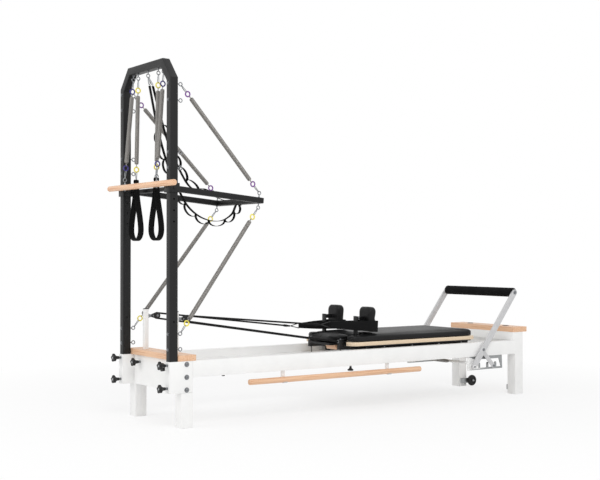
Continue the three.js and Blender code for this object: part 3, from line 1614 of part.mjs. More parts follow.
function buildCradle() {
  const pieces = [];
  const flangeZ = [railBottom - seat - gearThickness, railBottom - seat];
  for (const side of sides) {
    pieces.push(prism("y", gearOutline(), [side * gearInner, side * gearOuter], 2));
    const flangeX = [gearStart, gearEnd - gearEndBand];
    pieces.push(box(flangeX, [side * gearOuter, side * (gearOuter - gearFlange)], flangeZ));
    const at = (y) => [footbarPivotX, y, footbarPivotZ];
    const headStart = armFar + slip;
    const middle = side * (gearOuter - gearThickness / 2);
    pieces.push(rod(at(middle), at(side * (headStart + slip)), pivotPinRadius, roundFacets));
    pieces.push(
      rod(at(side * headStart), at(side * (headStart + pinHeadHeight)), pinHeadRadius, roundFacets),
    );
  }
  const reach = gearInner + gearThickness / 2;
  pieces.push(
    rod([springBarX, -reach, springBarZ], [springBarX, reach, springBarZ], springBarRadius),
  );
  add("footbar_cradle", join(pieces), steel);
}

// Stored pole
function buildPole() {
  const pole = rod(
    [poleStart, poleY, poleHeight],
    [poleStart + poleLength, poleY, poleHeight],
    dowelRadius,
    roundFacets,
  );
  add("stored_pole", pole, beech);
}

buildRails();
buildHeadFrame();
buildSockets();
buildTower();
buildYoke();
buildPushBar();
buildSprings();
buildRollBar();
buildHandLoops();
buildStraps();
buildRisers();
buildRopes();
buildKnobs();
buildPlatforms();
buildFootFrame();
buildWheels();
buildDeck();
buildUnderframe();
buildRollers();
buildCarriageSprings();
buildHeadrest();
buildShoulderRests();
buildFootbar();
buildCradle();
buildPole();

// The origin goes under the middle of the whole object, between knob heads and wheels
const headTip = -socketReach - studReach - knobNeck - knobThickness;
const footTip = Math.max(wheelX + wheelRadius, footPlatformEnd);
model.position.x = -(headTip + footTip) / 2;
const reformer = new THREE.Group();
reformer.add(model);
export default reformer;
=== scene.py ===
"""Looks for a pilates reformer with a half tower at its head end, laid out as a Blender add-on.

Sizes are in millimetres in the frame in which the object was measured: x from the outer face of
the head legs, y from the centre plane, z from the floor. The near side is -y.
"""

import json
import math
import random

import bmesh
import bpy
from bpy.props import FloatProperty, IntProperty, PointerProperty, StringProperty
from bpy.types import Operator, Panel, PropertyGroup
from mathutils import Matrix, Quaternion, Vector
from mathutils.bvhtree import BVHTree

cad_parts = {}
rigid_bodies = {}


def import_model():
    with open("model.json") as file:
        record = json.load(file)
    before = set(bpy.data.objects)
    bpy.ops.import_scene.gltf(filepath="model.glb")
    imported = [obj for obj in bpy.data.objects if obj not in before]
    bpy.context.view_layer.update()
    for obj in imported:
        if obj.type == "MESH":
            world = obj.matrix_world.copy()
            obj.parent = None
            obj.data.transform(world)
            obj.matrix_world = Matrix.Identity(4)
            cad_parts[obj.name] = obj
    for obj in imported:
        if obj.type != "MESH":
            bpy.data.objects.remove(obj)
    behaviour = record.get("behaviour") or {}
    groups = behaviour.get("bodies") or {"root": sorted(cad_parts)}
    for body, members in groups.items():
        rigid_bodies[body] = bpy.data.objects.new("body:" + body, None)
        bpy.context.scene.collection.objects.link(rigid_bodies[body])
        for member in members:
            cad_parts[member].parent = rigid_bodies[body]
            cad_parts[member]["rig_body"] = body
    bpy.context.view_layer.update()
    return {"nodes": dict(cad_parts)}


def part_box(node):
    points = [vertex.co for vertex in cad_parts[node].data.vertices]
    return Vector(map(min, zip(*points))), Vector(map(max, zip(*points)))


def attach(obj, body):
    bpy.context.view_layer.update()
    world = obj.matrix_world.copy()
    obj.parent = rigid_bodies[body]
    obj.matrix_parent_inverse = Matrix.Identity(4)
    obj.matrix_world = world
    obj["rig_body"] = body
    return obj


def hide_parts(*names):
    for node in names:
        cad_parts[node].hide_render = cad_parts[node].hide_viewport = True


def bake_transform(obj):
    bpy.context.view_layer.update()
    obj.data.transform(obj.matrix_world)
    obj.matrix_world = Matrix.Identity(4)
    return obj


bl_info = {
    "name": "Pilates reformer with half tower",
    "version": (1, 0, 0),
    "blender": (4, 5, 0),
    "location": "3D View > Sidebar > Reformer",
    "description": "Builds the finished looks of a reformer and its tower round the packed frame",
    "category": "Object",
}

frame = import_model()
MM = 0.001
ORIGIN_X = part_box("head_end_frame")[0].x
SIDES = ((-1, "near"), (1, "far"))
# Metres within which corners are one
WELD = 0.00002
# Pitch of a closed coil in wire diameters, and the corners of its wire's section
COIL_OPEN = 1.03
WIRE_SIDES = 6
# Angles in degrees: where shading stays smooth, and how flat faces are that are joined
SMOOTH_LIMIT, COIL_SMOOTH = 40.0, 80.0
FLAT_WITHIN = 1.0
X_AXIS, Y_AXIS, Z_AXIS = Vector((1, 0, 0)), Vector((0, 1, 0)), Vector((0, 0, 1))


def span(node):
    """The lowest and highest x, y and z of a CAD node, in millimetres of the measured frame."""
    low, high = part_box(node)
    return (
        ((low.x - ORIGIN_X) / MM, (high.x - ORIGIN_X) / MM),
        (low.y / MM, high.y / MM),
        (low.z / MM, high.z / MM),
    )


def middle(pair):
    """The middle of a pair of numbers."""
    return (pair[0] + pair[1]) / 2


def measured(place):
    """A place in the row frame, in millimetres of the measured frame."""
    return Vector(((place.x - ORIGIN_X) / MM, place.y / MM, place.z / MM))


def placed(point):
    """A measured point in metres of the row frame."""
    x, y, z = point
    return Vector((x * MM + ORIGIN_X, y * MM, z * MM))


# Places that more than one piece is built from

# The tower's posts, with their deep side along y
POST_X, POST_Y, POST_Z = span("tower_frame")
POST_WIDE, POST_DEEP = 48.0, 42.0
POST_BACK = POST_X[0]
POST_FRONT = POST_BACK + POST_WIDE
POST_MIDDLE_X = POST_BACK + POST_WIDE / 2
POST_OUTER = POST_Y[1]
POST_MIDDLE_Y = POST_OUTER - POST_DEEP / 2
TOWER_TOP = POST_Z[1]
CHAMFER_RUN, CHAMFER_RISE = 96.0, 109.0
# Eyebolts: their rings, and their places on the posts, the crossbar and the dowel
EYE_RADIUS, EYE_WIRE = 9.6, 2.6
EYE_STANDOFF = 25.0
UPPER_EYE_Z = TOWER_TOP - CHAMFER_RISE - 34
LOWER_EYE_Z = 499.0
SPARE_EYE_Z = (1734.5, 1458.0, 1376.0, 416.5)
CROSS_EYE_Z = TOWER_TOP - POST_DEEP - EYE_STANDOFF
OUTER_EYE_Y, INNER_EYE_Y, ROLL_EYE_Y = 180.0, 120.0, 190.0
POST_EYE_X = POST_FRONT + EYE_STANDOFF
# The push-through bar turns about its pivot in the yoke, and slopes by so many radians at rest
PIVOT = Vector((POST_FRONT + 10, 0, 1270))
BAR_LENGTH, BAR_TUBE, BAR_TALL, BAR_SLOPE = 566.0, 30.0, 32.0, 0.091
BAR_OUTER = span("push_through_bar")[1][1]
BAR_MIDDLE_Y = BAR_OUTER - BAR_TUBE / 2
BAR_EYE_ALONG = BAR_LENGTH - 24
# Snap hooks and coloured rings at the springs' ends
SNAP_LENGTH = 46.0
RING_RADIUS, RING_WIRE = 13.6, 3.7
HOOK_REST = 7.2
PAST_RING = SNAP_LENGTH + 2 * RING_RADIUS + RING_WIRE
DOWEL_RADIUS = 16.0
ROLL_BAR = span("roll_down_bar")
ROLL_BAR_X = ROLL_BAR[0][0] + DOWEL_RADIUS
ROLL_BAR_Z = ROLL_BAR[2][0] + DOWEL_RADIUS
# Risers with their pulleys, and the ropes' turn round them
SHEAVE = span("riser_sheave_near")
SHEAVE_X, SHEAVE_Z = middle(SHEAVE[0]), middle(SHEAVE[2])
RISER_X, RISER_Y, RISER_SIDE = 35.0, 176.0, 25.0
ROPE_RADIUS, ROPE_TURN = 5.2, 15.0
RING_TIP_X = span("hand_strap_near")[0][0]
SHOULDER_Y = 160.0
CLEAT_Y = 150.0


def on_bar(along, across, up):
    """A point of the push-through bar, from its place on the level bar."""
    turned = Quaternion(Y_AXIS, BAR_SLOPE) @ Vector((along, across, up))
    return turned + PIVOT


# Sizes and colours that a user would change


def hex_colour(name, default, description):
    """A colour property, written as # and six hexadecimal digits in sRGB."""
    return StringProperty(name=name, description=description, default=default, maxlen=7)


class ReformerColours(PropertyGroup):
    """Colours of the materials"""

    frame_white: hex_colour("Frame", "#F4F4F3", "Powder coat of the reformer's frame")
    tower_black: hex_colour("Tower", "#111112", "Powder coat of the tower and its bars")
    beech_pale: hex_colour("Beech", "#E9BF9C", "Pale rings of the beech")
    beech_dark: hex_colour("Beech grain", "#D39D78", "Dark rings of the beech")
    birch: hex_colour("Birch ply", "#F3DFC4", "Face of the carriage's deck")
    birch_glue: hex_colour("Glue lines", "#C9A67E", "Thin dark lines between the plies")
    upholstery: hex_colour("Upholstery", "#0C0C0D", "Cushion cover")
    webbing: hex_colour("Webbing", "#0B0B0C", "Straps and rope")
    foam: hex_colour("Foam", "#0B0B0C", "Sleeve of the footbar")
    plastic: hex_colour("Plastic", "#0F0F10", "Knobs, wheels and caps")
    spring: hex_colour("Spring wire", "#A19E9A", "Wire of all the springs")
    zinc: hex_colour("Zinc", "#8F9194", "Hooks, eyebolts and fasteners")
    aluminium: hex_colour("Footbar arms", "#CFCFD0", "Arms and struts of the footbar")
    cradle: hex_colour("Cradle", "#A6A8A9", "Toothed plates under the rails")
    hub: hex_colour("Hubs", "#A9ABAD", "Grey caps of the knobs and pulleys")
    cap: hex_colour("Caps", "#2A2A2C", "Caps of tubes and rubber discs")
    thread: hex_colour("Thread", "#2C2C2E", "Stitches of the straps")
    ring_purple: hex_colour("Upper rings", "#7B3A97", "Rings of the bar's upper springs")
    ring_yellow: hex_colour("Lower rings", "#F5E556", "Rings of the lower and loop springs")
    ring_navy: hex_colour("Roll bar rings", "#33297F", "Rings of the roll-down springs")
    floor: hex_colour("Floor", "#F6F6F6", "Studio floor")


def size_of(name, default, description):
    """A length property. The default is in millimetres, the property in metres."""
    return FloatProperty(
        name=name, description=description, default=default * MM, min=0, unit="LENGTH"
    )


class ReformerEdges(PropertyGroup):
    """Rounding of the edges"""

    steel: size_of("Steel edge", 3.0, "Radius of a square tube's edge")
    plate: size_of("Plate edge", 0.8, "Rounding of cut plate")
    board: size_of("Board edge", 3.0, "Rounding of a board's edge")
    steps: IntProperty(
        name="Edge steps", description="Faces across a rounded edge", default=2, min=1, max=6
    )


class ReformerSprings(PropertyGroup):
    """Sizes of the springs' wire and coils"""

    wire: size_of("Wire", 3.4, "Diameter of the spring wire")
    outside: size_of("Outside", 24.6, "Outer diameter of a coil")
    neck: size_of("Neck", 8, "Length over which a coil narrows at its ends")
    steps: IntProperty(
        name="Steps", description="Corners in one turn of a coil", default=12, min=6, max=32
    )


class ReformerCushions(PropertyGroup):
    """Sizes of the covers and their filling"""

    voxel: size_of("Voxel", 6.0, "Grain of the remeshed cover")
    swell: size_of("Swell", 7.0, "Furthest that a point of a cover may swell")
    shrink: size_of("Shrink", 4.0, "How much smaller than its solid a cover starts")
    seam: size_of("Seam", 1.6, "Radius of the corded seam")
    pressure: FloatProperty(
        name="Pressure", description="Filling pressure of the cloth", default=4.0, min=0
    )


class ReformerStage(PropertyGroup):
    """Lamps, surround and lens"""

    key: FloatProperty(
        name="Key lamp", description="Power of the large lamp", default=165, subtype="POWER"
    )
    fill: FloatProperty(
        name="Fill lamp", description="Power of the side lamp", default=66, subtype="POWER"
    )
    sky: FloatProperty(
        name="Surround", description="Strength of the light from all round", default=0.72
    )
    lens: FloatProperty(name="Lens", description="Focal length, mm", default=66.478)


class ReformerLook(PropertyGroup):
    """All that a user would change"""

    colours: PointerProperty(type=ReformerColours)
    edges: PointerProperty(type=ReformerEdges)
    springs: PointerProperty(type=ReformerSprings)
    cushions: PointerProperty(type=ReformerCushions)
    stage: PointerProperty(type=ReformerStage)


def look():
    """The settings of the scene."""
    return bpy.context.scene.reformer_look


# Materials

# A wave texture of scale 1 repeats every 20 / (2 pi) units
WAVE_SCALE = 2 * math.pi / 20
MATERIALS = {}


def linear(colour):
    """A linear colour for a shader from a hex value in sRGB."""
    parts = [int(colour[i : i + 2], 16) / 255 for i in (1, 3, 5)]
    return [c / 12.92 if c <= 0.04045 else ((c + 0.055) / 1.055) ** 2.4 for c in parts] + [1]


def add_node(tree, kind, inputs=None, **settings):
    """Adds a node, sets its options and its sockets, and links those that are given a socket."""
    made = tree.nodes.new(kind)
    for key, value in settings.items():
        setattr(made, key, value)
    for key, value in (inputs or {}).items():
        if isinstance(value, bpy.types.NodeSocket):
            tree.links.new(value, made.inputs[key])
        else:
            made.inputs[key].default_value = value
    return made


def start_material(name, **shader):
    """A material with one principled shader, whose constants sit on its own sockets."""
    material = bpy.data.materials.new(name)
    material.use_nodes = True
    tree = material.node_tree
    tree.nodes.clear()
    principled = add_node(tree, "ShaderNodeBsdfPrincipled", shader)
    add_node(tree, "ShaderNodeOutputMaterial", {"Surface": principled.outputs["BSDF"]})
    return material, tree, principled


def position(tree, scale=(1, 1, 1)):
    """Object coordinates in millimetres, stretched by a scale along each axis."""
    coordinates = add_node(tree, "ShaderNodeTexCoord")
    mapping = add_node(
        tree,
        "ShaderNodeMapping",
        {"Vector": coordinates.outputs["Object"], "Scale": [s / MM for s in scale]},
    )
    return mapping.outputs["Vector"]


def noise(tree, vector, size, detail=3.0, roughness=0.5):
    """A noise whose grains are about the given size in millimetres."""
    made = add_node(
        tree,
        "ShaderNodeTexNoise",
        {"Vector": vector, "Scale": 1 / size, "Detail": detail, "Roughness": roughness},
    )
    return made.outputs["Fac"]


def maths(tree, operation, *values):
    """The result of one sum on sockets or numbers."""
    made = add_node(tree, "ShaderNodeMath", dict(enumerate(values)), operation=operation)
    return made.outputs[0]


def ramp(tree, value, stops):
    """A colour ramp through (place, colour) stops."""
    made = add_node(tree, "ShaderNodeValToRGB", {"Fac": value})
    elements = made.color_ramp.elements
    while len(elements) < len(stops):
        elements.new(0.5)
    for element, (place, colour) in zip(elements, stops):
        element.position = place
        element.color = colour
    return made.outputs["Color"]


def spread(tree, value, low, high):
    """A value from 0 to 1 spread over another range."""
    made = add_node(tree, "ShaderNodeMapRange", {"Value": value, "To Min": low, "To Max": high})
    return made.outputs["Result"]


def paint(tree, principled, tint, rough=None):
    """Links a tint, and a roughness if one is given, to the shader."""
    tree.links.new(tint, principled.inputs["Base Color"])
    if rough:
        tree.links.new(rough, principled.inputs["Roughness"])


def bump(tree, principled, height, distance, strength):
    """Relief of a height of so many millimetres."""
    made = add_node(
        tree, "ShaderNodeBump", {"Height": height, "Distance": distance * MM, "Strength": strength}
    )
    tree.links.new(made.outputs["Normal"], principled.inputs["Normal"])


def shade(colour, factor):
    """A hex colour made lighter or darker by a factor, as a linear colour."""
    return [min(1, c * factor) for c in linear(colour)[:3]] + [1]


def powder_coat(name, colour, gloss, lift):
    """Powder coated steel: the sprayed powder melts to a fine orange peel, dulled by handling."""
    material, tree, principled = start_material(name, IOR=1.5, **{"Specular IOR Level": 0.35})
    place = position(tree)
    cloud = noise(tree, place, 90, 4)
    tint = ramp(tree, cloud, [(0.3, shade(colour, 1 - lift)), (0.7, shade(colour, 1 + lift))])
    wear = noise(tree, place, 35, 5, 0.6)
    paint(tree, principled, tint, spread(tree, wear, gloss - 0.06, gloss + 0.08))
    # Real orange peel is about 1 mm across, and is drawn at 2.2 mm so that it shows
    bump(tree, principled, noise(tree, place, 2.2, 2), 0.06, 0.5)
    return material


def plated_steel(name, colour, rough, streak):
    """Zinc plated steel: bright, with the faint streaks of drawing and tumbling."""
    material, tree, principled = start_material(name, Metallic=1.0)
    place = position(tree, streak)
    cloud = noise(tree, place, 4, 4, 0.6)
    tint = ramp(tree, cloud, [(0.25, shade(colour, 0.78)), (0.75, shade(colour, 1.08))])
    paint(tree, principled, tint, spread(tree, cloud, rough, rough + 0.18))
    bump(tree, principled, noise(tree, place, 0.8, 2), 0.02, 0.4)
    return material


def spring_wire(name, colour):
    """Oil tempered spring wire: dull warm grey with a dark film between the turns."""
    material, tree, principled = start_material(name, Metallic=0.65)
    place = position(tree)
    film = noise(tree, place, 9, 4, 0.65)
    tint = ramp(tree, film, [(0.2, shade(colour, 0.7)), (0.8, shade(colour, 1.1))])
    paint(tree, principled, tint, spread(tree, film, 0.34, 0.55))
    bump(tree, principled, noise(tree, place, 0.7, 2), 0.02, 0.5)
    return material


def oiled_beech(name, pale, dark, along):
    """Oiled beech: long straight rings and the short dark flecks of its rays."""
    material, tree, principled = start_material(name, IOR=1.45, **{"Coat Weight": 0.08})
    # Rings lie 6 mm apart across the board and run 40 times as long
    stretch = [1, 1, 1]
    stretch["xyz".index(along)] = 1 / 40
    rings = noise(tree, position(tree, stretch), 6, 4, 0.55)
    tint = ramp(
        tree,
        rings,
        [(0.32, linear(dark)), (0.5, linear(pale)), (0.68, shade(pale, 1.05))],
    )
    # Beech rays are 0.3 mm by 3 mm, and are drawn twice as wide so that they show
    fleck_scale = [1, 1, 1]
    fleck_scale["xyz".index(along)] = 0.2
    flecks = noise(tree, position(tree, fleck_scale), 0.7, 1)
    spots = ramp(tree, flecks, [(0.64, (0, 0, 0, 1)), (0.72, (1, 1, 1, 1))])
    mixed = add_node(
        tree,
        "ShaderNodeMix",
        {6: tint, 7: shade(dark, 0.62), 0: spread(tree, spots, 0.0, 0.45)},
        data_type="RGBA",
    )
    paint(tree, principled, mixed.outputs[2], spread(tree, rings, 0.5, 0.38))
    bump(tree, principled, flecks, 0.05, 0.4)
    return material


def birch_ply(name, face, glue):
    """Birch plywood: a pale rotary cut face, and edges with a glue line at every ply."""
    material, tree, principled = start_material(name, IOR=1.45)
    grain = noise(tree, position(tree, (0.04, 1, 1)), 5, 4, 0.6)
    tint = ramp(tree, grain, [(0.3, shade(face, 0.86)), (0.7, shade(face, 1.04))])
    # Plies are 1.4 mm thick, and are drawn at 4.4 mm so that they show
    plies = add_node(
        tree,
        "ShaderNodeTexWave",
        {"Vector": position(tree), "Scale": WAVE_SCALE / 4.4, "Distortion": 0.4},
        bands_direction="Z",
        wave_profile="SIN",
    )
    lines = ramp(tree, plies.outputs["Fac"], [(0.78, (0, 0, 0, 1)), (0.95, (1, 1, 1, 1))])
    facing = add_node(tree, "ShaderNodeNewGeometry")
    upright = add_node(tree, "ShaderNodeSeparateXYZ", {"Vector": facing.outputs["True Normal"]})
    steep = maths(tree, "ABSOLUTE", upright.outputs["Z"])
    # The board's edges are where the normal is less steep than this
    share = maths(tree, "MULTIPLY", lines, maths(tree, "GREATER_THAN", 0.6, steep))
    mixed = add_node(
        tree, "ShaderNodeMix", {6: tint, 7: linear(glue), 0: share}, data_type="RGBA"
    )
    paint(tree, principled, mixed.outputs[2], spread(tree, grain, 0.6, 0.45))
    bump(tree, principled, grain, 0.08, 0.35)
    return material


def leathercloth(name, colour):
    """Vinyl upholstery: pressed with a pebbled leather grain, satin where it is stretched."""
    material, tree, principled = start_material(name, IOR=1.5, **{"Specular IOR Level": 0.24})
    place = position(tree)
    # The pebbles of the real cover are 1.2 mm, and are drawn at 2.4 mm so that they show
    pebbles = add_node(
        tree,
        "ShaderNodeTexVoronoi",
        {"Vector": place, "Scale": 1 / 2.4},
        feature="DISTANCE_TO_EDGE",
    )
    creases = ramp(tree, pebbles.outputs["Distance"], [(0.0, (0, 0, 0, 1)), (0.25, (1, 1, 1, 1))])
    cloud = noise(tree, place, 60, 3)
    tint = ramp(tree, cloud, [(0.3, shade(colour, 0.8)), (0.7, shade(colour, 1.5))])
    paint(tree, principled, tint, spread(tree, cloud, 0.36, 0.5))
    bump(tree, principled, creases, 0.12, 0.55)
    return material


def uv_waves(tree, vector, apart, direction, distortion=0.0):
    """Ridges so many millimetres apart across UVs that hold millimetres."""
    made = add_node(
        tree,
        "ShaderNodeTexWave",
        {"Vector": vector, "Scale": WAVE_SCALE / apart, "Distortion": distortion},
        bands_direction=direction,
    )
    return made.outputs["Fac"]


def woven_webbing(name, colour, pitch=2.2):
    """Polypropylene webbing: ribs across the band. UVs hold millimetres along and across it."""
    material, tree, principled = start_material(name, IOR=1.49, **{"Specular IOR Level": 0.2})
    uv = add_node(tree, "ShaderNodeUVMap", uv_map="UVMap").outputs["UV"]
    # Real ribs are 1 mm apart, and are drawn at the pitch given so that they show
    ribs = uv_waves(tree, uv, pitch, "X", 0.6)
    weave = maths(tree, "MULTIPLY", ribs, uv_waves(tree, uv, pitch * 1.4, "Y", 0.6))
    tint = ramp(tree, weave, [(0.1, shade(colour, 0.7)), (0.9, shade(colour, 2.0))])
    paint(tree, principled, tint, spread(tree, weave, 0.9, 0.72))
    bump(tree, principled, weave, 0.3, 0.7)
    return material


def braided_cord(name, colour):
    """Braided polyester rope: diamonds where the strands cross. UVs hold length and turn."""
    material, tree, principled = start_material(name, IOR=1.5, **{"Specular IOR Level": 0.25})
    uv = add_node(tree, "ShaderNodeUVMap", uv_map="UVMap").outputs["UV"]
    # One strand crosses every 6 mm along the rope, which is 4.2 mm along a slant of 45 degrees
    strands = []
    for way in (1, -1):
        turned = {"Vector": uv, "Rotation": (0, 0, way * math.radians(45))}
        slanted = add_node(tree, "ShaderNodeMapping", turned).outputs["Vector"]
        strands.append(uv_waves(tree, slanted, 4.2, "X"))
    braid = maths(tree, "MULTIPLY", *strands)
    tint = ramp(tree, braid, [(0.05, shade(colour, 0.6)), (0.8, shade(colour, 2.2))])
    paint(tree, principled, tint, spread(tree, braid, 0.85, 0.6))
    bump(tree, principled, braid, 0.5, 0.8)
    return material


def closed_cell_foam(name, colour):
    """Rubber foam sleeve: a matt skin pitted by closed cells."""
    material, tree, principled = start_material(name, IOR=1.5, **{"Specular IOR Level": 0.12})
    place = position(tree)
    # Cells are 0.6 mm across, and are drawn at 1.6 mm so that they show
    cells = add_node(tree, "ShaderNodeTexVoronoi", {"Vector": place, "Scale": 1 / 1.6})
    tint = ramp(
        tree, noise(tree, place, 40, 4), [(0.3, shade(colour, 0.8)), (0.7, shade(colour, 1.7))]
    )
    paint(tree, principled, tint, spread(tree, cells.outputs["Distance"], 0.72, 0.9))
    bump(tree, principled, cells.outputs["Distance"], 0.15, 0.5)
    return material


def moulded_plastic(name, colour, rough=0.38, coarse=1.5):
    """Glass filled nylon from a spark eroded mould: an even fine grain, worn a little smooth."""
    material, tree, principled = start_material(name, IOR=1.53, **{"Specular IOR Level": 0.35})
    place = position(tree)
    cloud = noise(tree, place, 18, 4)
    tint = ramp(tree, cloud, [(0.3, shade(colour, 0.8)), (0.7, shade(colour, 1.4))])
    paint(tree, principled, tint, spread(tree, cloud, rough - 0.06, rough + 0.1))
    bump(tree, principled, noise(tree, place, coarse, 2), 0.05, 0.5)
    return material


def satin_aluminium(name, colour):
    """Satin anodised aluminium: brushed along the part and dulled by the oxide."""
    material, tree, principled = start_material(name, Metallic=0.35)
    brushed = noise(tree, position(tree, (0.05, 1, 0.05)), 1.2, 3, 0.6)
    tint = ramp(tree, brushed, [(0.25, shade(colour, 0.9)), (0.75, shade(colour, 1.04))])
    paint(tree, principled, tint, spread(tree, brushed, 0.34, 0.5))
    bump(tree, principled, brushed, 0.03, 0.3)
    return material


def dipped_pvc(name, colour):
    """PVC dipped steel ring: thick, soft and glossy, with a slow sag in the skin."""
    material, tree, principled = start_material(name, IOR=1.52, Roughness=0.25)
    place = position(tree)
    cloud = noise(tree, place, 7, 3)
    tint = ramp(tree, cloud, [(0.3, shade(colour, 0.85)), (0.7, shade(colour, 1.1))])
    paint(tree, principled, tint)
    bump(tree, principled, cloud, 0.15, 0.4)
    return material


def finish_of(name):
    """The named finish, made the first time that a piece asks for it."""
    if name in MATERIALS:
        return MATERIALS[name]
    c = look().colours
    makers = {
        "white_frame": lambda: powder_coat("powder_coat_white_satin", c.frame_white, 0.36, 0.02),
        "tower_black": lambda: powder_coat("powder_coat_black_satin", c.tower_black, 0.42, 0.12),
        "beech_across": lambda: oiled_beech("oiled_beech_across", c.beech_pale, c.beech_dark, "y"),
        "beech_long": lambda: oiled_beech("oiled_beech_long", c.beech_pale, c.beech_dark, "x"),
        "birch": lambda: birch_ply("birch_plywood_lacquered", c.birch, c.birch_glue),
        "leathercloth": lambda: leathercloth("vinyl_leathercloth_pressed", c.upholstery),
        "webbing": lambda: woven_webbing("polypropylene_webbing_woven", c.webbing),
        "rope": lambda: braided_cord("polyester_rope_braided", c.webbing),
        "foam": lambda: closed_cell_foam("rubber_foam_closed_cell", c.foam),
        "plastic": lambda: moulded_plastic("nylon_moulded_black", c.plastic),
        "tyre": lambda: moulded_plastic("polyurethane_tyre_moulded", c.plastic, 0.55, 3.0),
        "hub": lambda: moulded_plastic("nylon_moulded_grey", c.hub, 0.45),
        "cap": lambda: moulded_plastic("polyethylene_cap_moulded", c.cap, 0.5),
        "spring": lambda: spring_wire("spring_wire_oil_tempered", c.spring),
        "zinc": lambda: plated_steel("steel_zinc_plated", c.zinc, 0.22, (1, 1, 1)),
        "cradle": lambda: plated_steel("steel_zinc_plated_dull", c.cradle, 0.38, (0.1, 1, 1)),
        "aluminium": lambda: satin_aluminium("aluminium_satin_anodised", c.aluminium),
        "ring_purple": lambda: dipped_pvc("pvc_dipped_purple", c.ring_purple),
        "ring_yellow": lambda: dipped_pvc("pvc_dipped_yellow", c.ring_yellow),
        "ring_navy": lambda: dipped_pvc("pvc_dipped_navy", c.ring_navy),
        "thread": lambda: woven_webbing("nylon_thread_twisted", c.thread, 0.8),
    }
    MATERIALS[name] = makers[name]()
    return MATERIALS[name]


# Shapes

# Radius that stands for a point on an axis, so that its ring's faces aren't empty
POINT_RADIUS = 0.02


def directions(axis, count):
    """Even directions round an axis of length 1."""
    side = axis.orthogonal().normalized()
    other = axis.cross(side)
    turn = [2 * math.pi * i / count for i in range(count)]
    return [side * math.cos(t) + other * math.sin(t) for t in turn]


